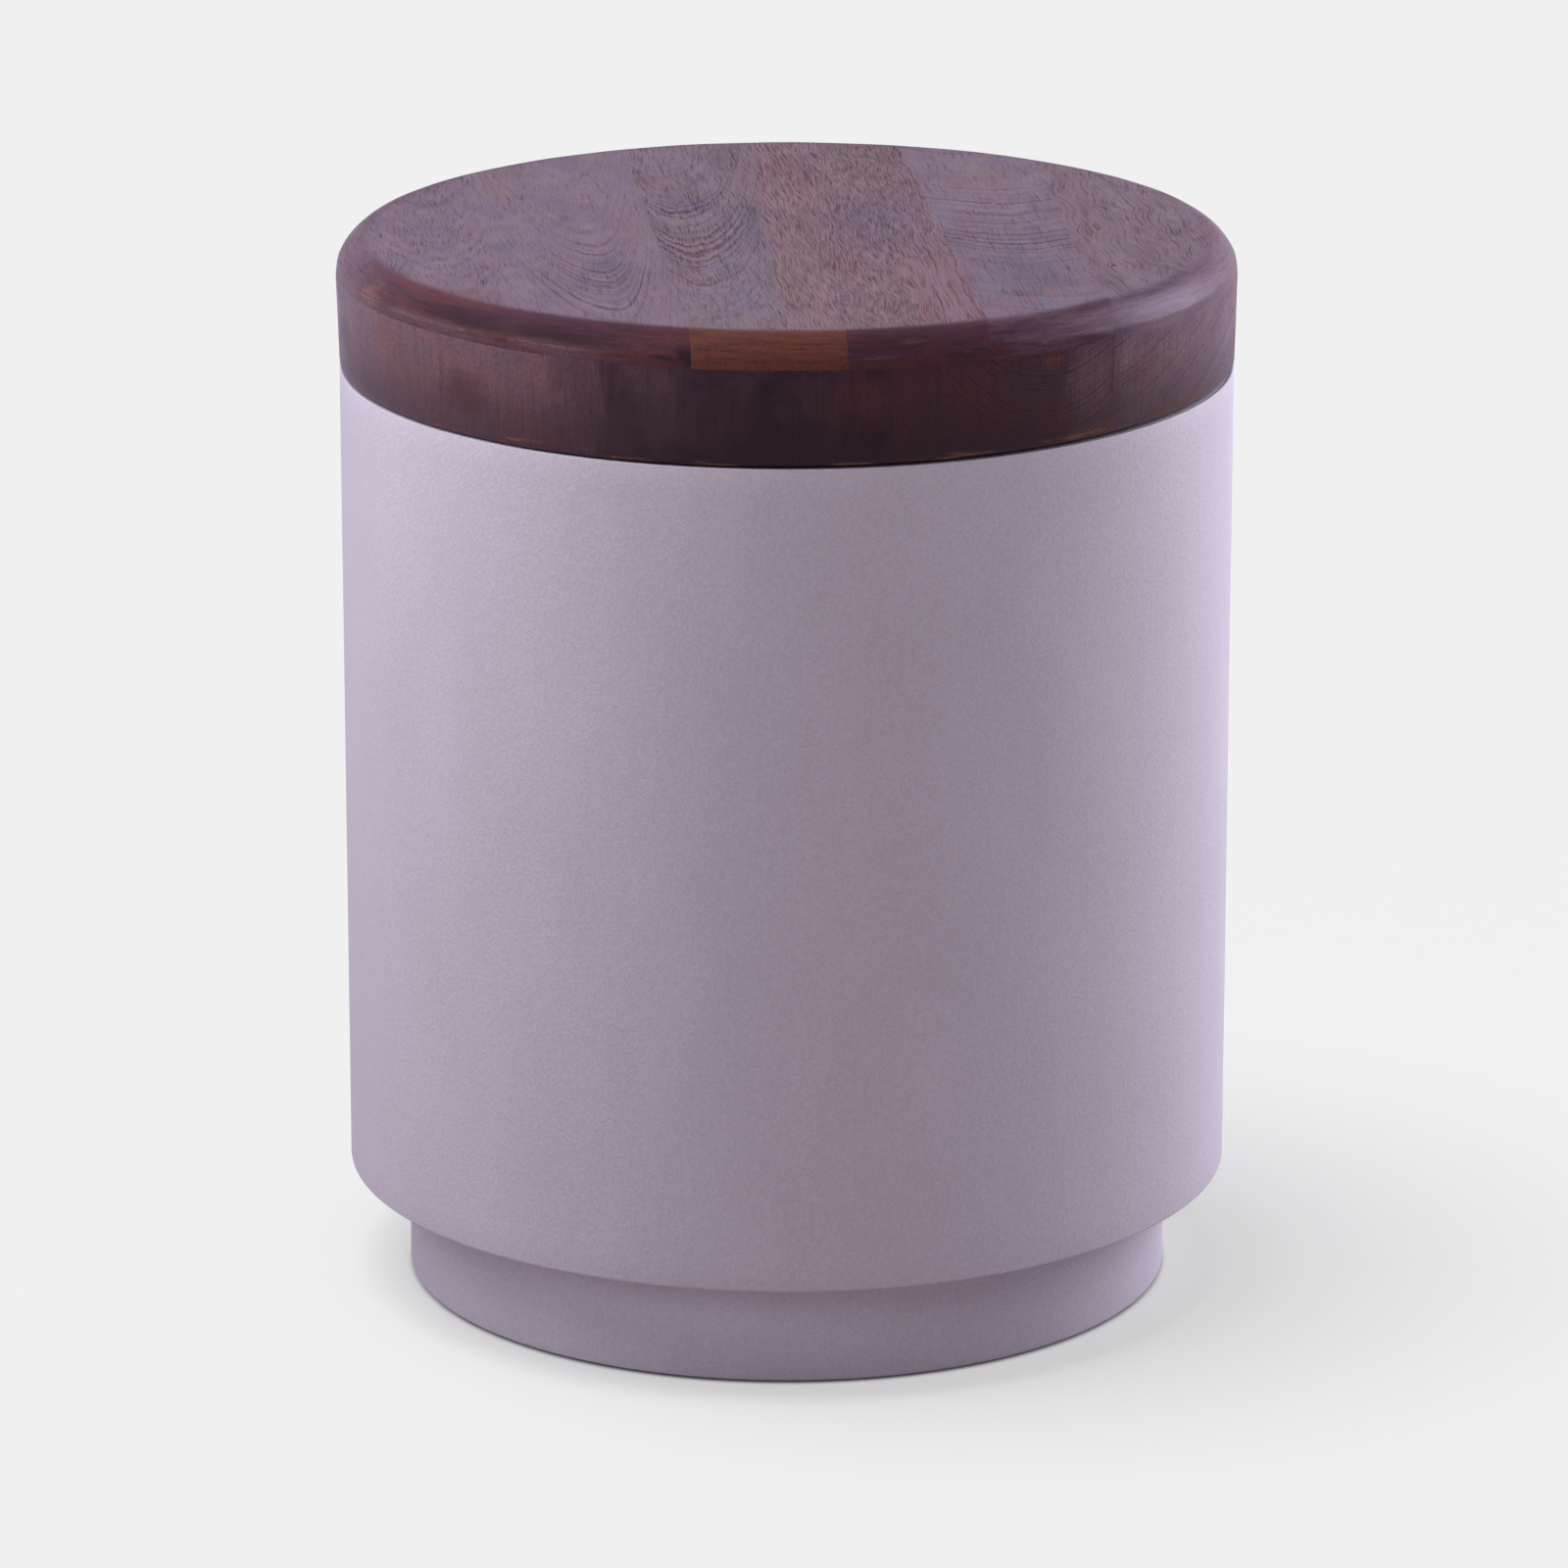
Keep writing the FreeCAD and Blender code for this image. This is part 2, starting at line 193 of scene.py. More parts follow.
class StageSettings(bpy.types.PropertyGroup):
    floor: colour("Floor", (0.90, 0.90, 0.90), "Colour of the floor")
    floor_radius: length("Floor radius", 9000.0, "Radius of the floor")
    backdrop: colour("Backdrop", (1.0, 1.0, 1.0), "Colour of the white surroundings that the camera sees")
    backdrop_share: share("Backdrop share", 0.50, "How much of the white surroundings the floor shows")
    reflection: colour("Reflection", (0.66, 0.59, 0.80), "Colour of the surroundings in reflections")
    front_reflection: share("Front reflection", 0.3, "Strength of the darker side in front, in reflections")
    highlight: strength("Highlight", 10.0, "Strength of the window in reflections")
    highlight_place: FloatVectorProperty(
        name="Highlight place", description="Direction of the window in reflections",
        default=(0.845, 0.38, 0.37), subtype="DIRECTION")
    ambient: strength("Ambient", 0.32, "Strength of the even light from all round")
    key_light: strength("Key light", 1.66, "Strength of the light from above on the left")
    lamp_tint: colour("Lamp tint", (0.85, 0.985, 1.0), "Colour of the lamps beside the table")
    left_light: power("Left light", 5.4, "Power of the lamp on the left")
    left_fill: power("Left fill", 2.4, "Power of the small lamp in front on the left")
    plinth_fill: power("Plinth fill", 3.2, "Power of the small lamp that lights the plinth alone")
    right_light: power("Right light", 27.0, "Power of the lamp behind on the right")
    right_fill: power("Right fill", 9.0, "Power of the lamp on the right")
    camera_side: length("Camera side", -1.2, "How far the camera stands to the right")
    camera_distance: length("Camera distance", 3522.5, "Distance from the camera to the drum's axis")
    camera_height: length("Camera height", 1256.6, "Height of the camera above the floor")
    camera_pitch: FloatProperty(
        name="Camera pitch", description="How far the camera looks down",
        default=math.radians(16.492), subtype="ANGLE", unit="ROTATION")
    camera_lens: FloatProperty(
        name="Lens", description="Focal length for a sensor 36 mm wide",
        default=195.92, subtype="DISTANCE_CAMERA", unit="CAMERA")


class DrumTableSettings(bpy.types.PropertyGroup):
    lid: PointerProperty(type=LidSettings)
    drum: PointerProperty(type=DrumSettings)
    wood: PointerProperty(type=WoodSettings)
    paint: PointerProperty(type=PaintSettings)
    stage: PointerProperty(type=StageSettings)


# Modelling

def select_only(piece):
    bpy.ops.object.select_all(action="DESELECT")
    piece.select_set(True)
    bpy.context.view_layer.objects.active = piece


def straight(start, end, steps):
    """Profile points from start to end, without the start."""
    radius, height = start
    wider = end[0] - radius
    higher = end[1] - height
    return [(radius + wider * step / steps, height + higher * step / steps) for step in range(1, steps + 1)]


def rounded(start, corner, end, steps=STEPS_PER_CURVE):
    """Profile points round a corner from start to end, without the start."""
    poles = [Vector(start), Vector(start).lerp(Vector(corner), HANDLE_SHARE),
             Vector(end).lerp(Vector(corner), HANDLE_SHARE), Vector(end)]
    points = []
    for step in range(1, steps + 1):
        t = step / steps
        s = 1 - t
        point = poles[0] * s ** 3 + poles[1] * 3 * s * s * t + poles[2] * 3 * s * t * t + poles[3] * t ** 3
        points.append(tuple(point))
    return points


def turned(name, profile, solid):
    """Turns a profile of (radius, height) points about the drum's axis, by extruding a circle from point to
    point. A solid is closed by its first and last circles. Any other profile ends where it starts."""
    radius, height = profile[0]
    bpy.ops.object.select_all(action="DESELECT")
    bpy.ops.mesh.primitive_circle_add(vertices=TURN_STEPS, radius=radius, location=(0, 0, height),
                                      fill_type="NGON" if solid else "NOTHING")
    piece = bpy.context.active_object
    piece.name = name
    bpy.ops.object.transform_apply(location=True, rotation=True, scale=True)
    bpy.ops.object.mode_set(mode="EDIT")
    bpy.ops.mesh.select_all(action="SELECT")
    for (radius, height), (next_radius, next_height) in zip(profile, profile[1:]):
        growth = next_radius / radius
        bpy.ops.mesh.extrude_region_move(TRANSFORM_OT_translate={"value": (0, 0, next_height - height)})
        bpy.ops.transform.resize(value=(growth, growth, 1), center_override=(0, 0, next_height))
    bpy.ops.mesh.select_all(action="SELECT")
    bpy.ops.mesh.remove_doubles(threshold=WELD_REACH)
    bpy.ops.mesh.normals_make_consistent(inside=False)
    bpy.ops.object.mode_set(mode="OBJECT")
    return piece


def apply_modifier(piece, kind, **settings):
    select_only(piece)
    bpy.ops.object.modifier_add(type=kind)
    modifier = piece.modifiers[-1]
    for name, value in settings.items():
        setattr(modifier, name, value)
    bpy.ops.object.modifier_apply(modifier=modifier.name)


def uneven(piece, height, size):
    """Gives a surface the slow unevenness of handwork."""
    clouds = bpy.data.textures.new(piece.name + "_waver", "CLOUDS")
    clouds.noise_scale = size
    apply_modifier(piece, "DISPLACE", texture=clouds, texture_coords="LOCAL", strength=2 * height,
                   mid_level=0.5)
    bpy.data.textures.remove(clouds)


def smooth(piece, angle=SMOOTH_ANGLE):
    select_only(piece)
    bpy.ops.object.shade_smooth_by_angle(angle=angle)


def copy_of(piece, name):
    select_only(piece)
    bpy.ops.object.duplicate()
    copy = bpy.context.active_object
    copy.name = name
    return copy


def saw(piece, point, away):
    """Cuts off what lies beyond a plane, on the side that away points to, and closes the cut."""
    select_only(piece)
    bpy.ops.object.mode_set(mode="EDIT")
    bpy.ops.mesh.select_all(action="SELECT")
    bpy.ops.mesh.bisect(plane_co=point, plane_no=away, use_fill=True, clear_outer=True)
    bpy.ops.object.mode_set(mode="OBJECT")


def discard(piece):
    bpy.data.meshes.remove(piece.data)


def dress(piece, material):
    piece.data.materials.clear()
    piece.data.materials.append(material)


def dress_nodes(material, *nodes):
    for node in nodes:
        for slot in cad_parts[node].material_slots:
            slot.material = material


def stand_in(piece, material, body, node, slot):
    """Dresses a piece and lets it stand for a CAD node on one of the two bodies."""
    dress(piece, material)
    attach(piece, body)
    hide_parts(node)


def lid_blank(lid):
    """The whole lid as one turned solid, from which the staves are sawn."""
    foot_radius = LID_RADIUS - lid.side_taper
    underside_edge = (foot_radius - lid.lower_edge, LID_UNDERSIDE)
    side_low = (foot_radius, LID_UNDERSIDE + lid.lower_edge)
    side_high = (LID_RADIUS, LID_TOP - lid.roundover_drop)
    ridge = (LID_RADIUS - lid.ridge_inset, LID_TOP - lid.ridge_drop)
    shallow_corner = (LID_RADIUS, (side_high[1] + ridge[1]) / 2)
    round_corner = (LID_RADIUS - lid.round_corner, LID_TOP)
    face_edge = (LID_RADIUS - lid.roundover_inset, LID_TOP)
    face_margin = (face_edge[0] - lid.lower_edge, LID_TOP)
    profile = [underside_edge]
    profile += rounded(underside_edge, (foot_radius, LID_UNDERSIDE), side_low)
    profile += straight(side_low, side_high, STEPS_PER_CURVE)
    profile += rounded(side_high, shallow_corner, ridge)
    profile += rounded(ridge, round_corner, face_edge, 2 * STEPS_PER_CURVE)
    profile += [face_margin]
    blank = turned("lid_blank", profile, solid=True)
    uneven(blank, lid.waver, lid.waver_size)
    lean_underside(blank, lid)
    return blank


def lean_underside(blank, lid):
    """Tips the underside, so that the seam above the drum closes on the left and opens on the right."""
    limit = LID_UNDERSIDE + lid.lower_edge / 2
    select_only(blank)
    for parts in (blank.data.polygons, blank.data.edges):
        parts.foreach_set("select", [False] * len(parts))
    for vertex in blank.data.vertices:
        vertex.select = vertex.co.z < limit
    bpy.ops.object.mode_set(mode="EDIT")
    bpy.ops.transform.rotate(value=math.atan(lid.lower_lean / LID_RADIUS), orient_axis="Y",
                             center_override=(0, 0, LID_UNDERSIDE))
    bpy.ops.transform.translate(value=(0, 0, -lid.lower_sag))
    bpy.ops.object.mode_set(mode="OBJECT")


def stave_sides(joint_shares):
    """Low and high side of each stave across the lid, with the outermost staves open to the rim."""
    outside = 2 * LID_RADIUS
    joints = [joint * LID_RADIUS for joint in joint_shares]
    bounds = [-outside] + joints + [outside]
    return list(zip(bounds, bounds[1:]))


def sawn_stave(blank, name, sides):
    stave = copy_of(blank, name)
    low, high = sides
    if high < LID_RADIUS:
        saw(stave, ACROSS * high, ACROSS)
    if low > -LID_RADIUS:
        saw(stave, ACROSS * low, -ACROSS)
    return stave


def clear_inset(stave, side, end):
    """Cuts the inset block's room out of a stave, with a box that reaches well past the rim."""
    reach = 2 * LID_RADIUS
    middle = ACROSS * (side + reach / 2) + ALONG * (end - reach / 2)
    middle.z = (GLUE_LINE + LID_TOP) / 2
    bpy.ops.object.select_all(action="DESELECT")
    bpy.ops.mesh.primitive_cube_add(size=1, location=middle, rotation=(0, 0, STAVE_TURN),
                                    scale=(reach, reach, LID_RADIUS))
    cutter = bpy.context.active_object
    apply_modifier(stave, "BOOLEAN", object=cutter, operation="DIFFERENCE", solver="EXACT")
    discard(cutter)


def finish_stave(piece, node, slot, settings):
    smooth(piece)
    stand_in(piece, StaveWood(node, settings).drawn(), "lid", node, slot)


def sheet_ring(name, low, high, foot_edge, drum):
    """A rolled sheet-metal ring with rounded edges, between the corners of its box."""
    radius = high.x
    bore = radius - drum.wall
    edge = drum.edge
    start = (radius, low.z + foot_edge)
    shoulder = (radius, high.z - edge)
    inner_shoulder = (bore, high.z - edge)
    crest = (bore + edge, high.z)
    foot = (radius - foot_edge, low.z)
    profile = [start]
    profile += straight(start, shoulder, SHEET_STEPS)
    profile += rounded(shoulder, (radius, high.z), (radius - edge, high.z), SHEET_EDGE_STEPS)
    profile += [crest]
    profile += rounded(crest, (bore, high.z), inner_shoulder, SHEET_EDGE_STEPS)
    profile += straight(inner_shoulder, (bore, low.z), SHEET_STEPS)
    profile += [foot]
    profile += rounded(foot, (radius, low.z), start, SHEET_FOOT_STEPS)
    piece = turned(name, profile, solid=False)
    uneven(piece, drum.waver, drum.waver_size)
    smooth(piece)
    return piece


# Shader trees

class Graph:
    """Builds one shader tree. Each method adds nodes and gives back the socket that they put out."""

    def __init__(self, tree):
        self.tree = tree

    def node(self, kind, inputs=None, **settings):
        made = self.tree.nodes.new("ShaderNode" + kind)
        for name, value in settings.items():
            setattr(made, name, value)
        for key, value in (inputs or {}).items():
            self.feed(made.inputs[key], value)
        return made

    def feed(self, socket, value):
        if isinstance(value, bpy.types.NodeSocket):
            self.tree.links.new(value, socket)
        else:
            socket.default_value = value

    def math(self, operation, first, second=0.0, clamp=False):
        return self.node("Math", {0: first, 1: second}, operation=operation, use_clamp=clamp).outputs[0]

    def product(self, first, *others):
        for other in others:
            first = self.math("MULTIPLY", first, other)
        return first

    def total(self, first, second, part=1.0):
        """The first value and a part of the second."""
        return self.node("Math", {0: second, 1: part, 2: first}, operation="MULTIPLY_ADD").outputs[0]

    def vector(self, operation, first, second):
        return self.node("VectorMath", {0: first, 1: second}, operation=operation).outputs[0]

    def size(self, vector):
        return self.node("VectorMath", {0: vector}, operation="LENGTH").outputs["Value"]

    def radius(self, place):
        """How far a place lies from the drum's axis."""
        return self.size(self.vector("MULTIPLY", place, (1.0, 1.0, 0.0)))

    def rotated(self, place, angle):
        """A place turned about the drum's axis."""
        return self.node("Mapping", {"Vector": place, "Rotation": (0, 0, angle)}).outputs[0]

    def split(self, place):
        return self.node("SeparateXYZ", {0: place}).outputs

    def join(self, x, y, z):
        return self.node("CombineXYZ", {0: x, 1: y, 2: z}).outputs[0]

    def noise(self, place, size, detail=2.0, roughness=0.5, distortion=0.0):
        """Noise whose lumps are as large each way as size says."""
        inputs = {"Vector": self.vector("DIVIDE", place, size), "Scale": 1.0, "Detail": detail,
                  "Roughness": roughness, "Distortion": distortion}
        return self.node("TexNoise", inputs).outputs["Fac"]

    def noise_along(self, value, detail=2.0):
        return self.node("TexNoise", {"W": value, "Scale": 1.0, "Detail": detail},
                         noise_dimensions="1D").outputs["Fac"]

    def step(self, value, low, high):
        """Goes smoothly from 0 at low to 1 at high."""
        return self.node("MapRange", {"Value": value, "From Min": low, "From Max": high},
                         interpolation_type="SMOOTHSTEP").outputs["Result"]

    def mix(self, factor, first, second):
        inputs = {0: factor, 6: opaque(first), 7: opaque(second)}
        return self.node("Mix", data_type="RGBA", inputs=inputs).outputs[2]

    def placed(self, effect, **inputs):
        """Puts a shared effect into the tree and gives back all that it puts out."""
        return self.node("Group", inputs, node_tree=shared_group(effect)).outputs


class Surface(Graph):
    """A new material's tree, with its Principled shader and the Object coordinates in millimetres."""

    def __init__(self, name):
        self.material = bpy.data.materials.new(name)
        self.material.use_nodes = True
        super().__init__(self.material.node_tree)
        self.shader = self.tree.nodes["Principled BSDF"]
        metres = self.node("TexCoord").outputs["Object"]
        self.place = self.vector("MULTIPLY", metres, (1 / MILLIMETRE,) * 3)

    def feed_shader(self, inputs):
        for name, value in inputs.items():
            self.feed(self.shader.inputs[name], value)

    def bump(self, relief, depth):
        """Feeds a relief into the shader's normal. Its depth is in metres."""
        made = self.node("Bump", {"Strength": 1.0, "Distance": depth, "Height": relief})
        self.feed_shader({"Normal": made.outputs["Normal"]})


def opaque(tone):
    """A colour setting as the four numbers of a colour socket. A socket is passed through."""
    if isinstance(tone, bpy.types.NodeSocket):
        return tone
    return (*tone, 1.0)


# The inputs of the shared effects that are vectors. All others are single values.
VECTOR_INPUTS = ("place", "size", "centre", "half")


def shared_group(effect):
    """The node group that an effect's function draws, with the function's arguments as its inputs. Several
    materials share it, so it is built once."""
    name = effect.__name__
    if name in bpy.data.node_groups:
        return bpy.data.node_groups[name]
    group = bpy.data.node_groups.new(name, "ShaderNodeTree")
    titles = inspect.getfullargspec(effect).args[1:]
    for title in titles:
        kind = "NodeSocketVector" if title in VECTOR_INPUTS else "NodeSocketFloat"
        group.interface.new_socket(title, in_out="INPUT", socket_type=kind)
    graph = Graph(group)
    given = group.nodes.new("NodeGroupInput").outputs
    drawn = effect(graph, *[given[title] for title in titles])
    for title in drawn:
        group.interface.new_socket(title, in_out="OUTPUT", socket_type="NodeSocketFloat")
    result = group.nodes.new("NodeGroupOutput").inputs
    for title, socket in drawn.items():
        graph.feed(result[title], socket)
    return group


# Shared effects. Places and sizes are in millimetres.

def growth_rings(graph, place, middle, arch, steepness, runout, rise, wander, width):
    """Growth rings of a sawn board: arched across it and running out along it, so that they draw long
    arches on the face and arcs on the end. Rings differ in width, and finer ones lie between them."""
    slow_drift = (26.0, 60.0, 26.0)
    fine_drift = (4.0, 12.0, 4.0)
    fine_share = 0.3
    width_rate = 0.31
    width_change = 2.2
    tone_rate = 0.35
    minor_rate = 2.63
    minor_strength = 0.55
    across, along, up = graph.split(place)
    offset = graph.math("SUBTRACT", across, middle)
    steeper = graph.math("MINIMUM", graph.product(offset, steepness), 0.0)
    offset = graph.total(steeper, graph.math("MAXIMUM", offset, 0.0))
    depth = graph.total(graph.product(up, rise), along, runout)
    depth = graph.total(depth, graph.product(offset, offset, arch), -1.0)
    drift = graph.total(graph.noise(place, slow_drift), graph.noise(place, fine_drift), fine_share)
    depth = graph.total(depth, drift, wander)
    phase = graph.math("DIVIDE", depth, width)
    phase = graph.total(phase, graph.noise_along(graph.product(phase, width_rate)), width_change)
    main = ring_line(graph, phase, least=0.20)
    minor = ring_line(graph, graph.product(phase, minor_rate), least=0.0)
    tone = graph.noise_along(graph.product(phase, tone_rate), detail=3.0)
    return {"line": graph.math("MAXIMUM", main, graph.product(minor, minor_strength)),
            "tone": graph.step(tone, 0.3, 0.7)}


def ring_line(graph, phase, least):
    """A thin dark line at the end of each ring, sharp on one side, some rings darker than others."""
    ring = graph.math("FRACT", phase)
    darkening = graph.step(ring, 0.45, 0.90)
    ending = graph.step(ring, 1.0, 0.94)
    number = graph.math("FLOOR", phase)
    weight = graph.node("TexWhiteNoise", {"W": number}, noise_dimensions="1D").outputs["Value"]
    return graph.product(darkening, ending, graph.total(least, weight, 1.0 - least))


def pore_strokes(graph, place, stroke_length, stroke_width, amount, sway):
    """Open pores: short fine strokes along the grain, closer together in some places than in others."""
    wave_size = (24.0, 48.0, 24.0)
    crowd_size = (14.0, 34.0, 14.0)
    highest_limit = 0.765
    amount_effect = -0.28
    crowd_effect = -0.15
    softness = 0.16
    across, along, up = graph.split(place)
    wave = graph.math("SUBTRACT", graph.noise(place, wave_size), 0.5)
    swayed = graph.join(graph.total(across, wave, sway), along, up)
    strokes = graph.noise(swayed, graph.join(stroke_width, stroke_length, stroke_width), detail=1.0)
    limit = graph.total(highest_limit, amount, amount_effect)
    limit = graph.total(limit, graph.noise(place, crowd_size), crowd_effect)
    return {"pores": graph.step(strokes, limit, graph.math("ADD", limit, softness))}


def cloudy_tone(graph, place, size):
    """Slow patches of tone."""
    cloud = graph.noise(place, size, detail=3.0, roughness=0.55, distortion=0.4)
    return {"tone": graph.step(cloud, 0.30, 0.70)}


def ragged_reach(graph, place, centre, half, lump, unevenness, **noise):
    """How far a place lies from the centre of a patch, unevenly, with 1 at its half size."""
    inside = graph.vector("DIVIDE", graph.vector("SUBTRACT", place, centre), half)
    ragged = graph.math("SUBTRACT", graph.noise(inside, (lump,) * 3, **noise), 0.5)
    return graph.total(graph.size(inside), ragged, unevenness)


def soft_patch(graph, place, centre, half):
    """A patch with a ragged soft edge."""
    reach = ragged_reach(graph, place, centre, half, lump=1 / 2.2, unevenness=1.1, detail=3.0,
                         roughness=0.6)
    return {"mask": graph.step(reach, 1.0, 0.25)}


def knot_rings(graph, place, centre, half):
    """The dark core of a knot and the rings that crowd round it."""
    ring_count = 3.2
    reach = ragged_reach(graph, place, centre, half, lump=1 / 1.8, unevenness=0.5)
    ring = graph.math("FRACT", graph.product(reach, ring_count))
    darkening = graph.step(ring, 0.25, 0.7)
    ending = graph.step(ring, 1.0, 0.8)
    inside = graph.step(reach, 1.05, 0.75)
    core = graph.step(reach, 0.30, 0.12)
    return {"dark": graph.math("MAXIMUM", graph.product(darkening, ending, inside), core)}


def worn_line(graph, place, height, reach, patch, amount):
    """A line of wear round the lid at one height, broken into patches. Along the ridge it is partly a
    painted highlight.
    """
    patch_height = 3.0
    highest_limit = 0.75
    amount_effect = -0.4
    softness = 0.12
    off = graph.math("ABSOLUTE", graph.math("SUBTRACT", graph.split(place)[2], height))
    near = graph.step(graph.math("DIVIDE", off, reach), 1.0, 0.2)
    patches = graph.noise(place, graph.join(patch, patch, patch_height), detail=4.0, roughness=0.65)
    limit = graph.total(highest_limit, amount, amount_effect)
    return {"wear": graph.product(near, graph.step(patches, limit, graph.math("ADD", limit, softness)))}


def orange_peel(graph, place, width):
    """The fine bumps and slight mottling of a powder coat."""
    mottle_size = (38.0, 38.0, 70.0)
    return {"height": graph.noise(place, graph.join(width, width, width), detail=2.5, roughness=0.55),
            "mottle": graph.noise(place, mottle_size, detail=4.0)}


# Wood: each stave's figure, in millimetres across, along and up

TOP = LID_TOP / MILLIMETRE
SEAM = GLUE_LINE / MILLIMETRE
UNDERSIDE = LID_UNDERSIDE / MILLIMETRE
RADIUS = LID_RADIUS / MILLIMETRE


def on_top(across, along):
    return (across, along, TOP)


def on_rim(degrees, height):
    """A place on the rim, by its angle to the right of the front and its height above the floor."""
    angle = math.radians(degrees) - STAVE_TURN
    return (RADIUS * math.sin(angle), -RADIUS * math.cos(angle), height)


class Patch(NamedTuple):
    """A soft patch of another tone. Half sizes are across, along and up."""
    tone: str
    strength: float
    centre: tuple
    half: tuple


class HeartStrip(NamedTuple):
    """The part of a board to the right of a slanting line, where its heart has other tones and pores."""
    face: tuple
    pores: float
    edge: float
    slope: float


class Board(NamedTuple):
    """How one stave was sawn: two tones for its face, two for its rim, its growth lines, its pores and the
    patches and knots that stand out. Area is the centre and the half size of the part of the face where
    lines are strong."""
    face: tuple
    rim: tuple
    middle: float
    arch: float = 0.003
    steepness: float = 1.0
    runout: float = 0.03
    rise: float = 0.4
    wander: float = 0.5
    ring: float = 0.8
    lines: float = 0.5
    area: tuple = None
    strip: HeartStrip = None
    mottle: float = 0.38
    pores: float = 0.5
    pore_length: float = 22.0
    sway: float = 5.0
    patches: tuple = ()
    knots: tuple = ()


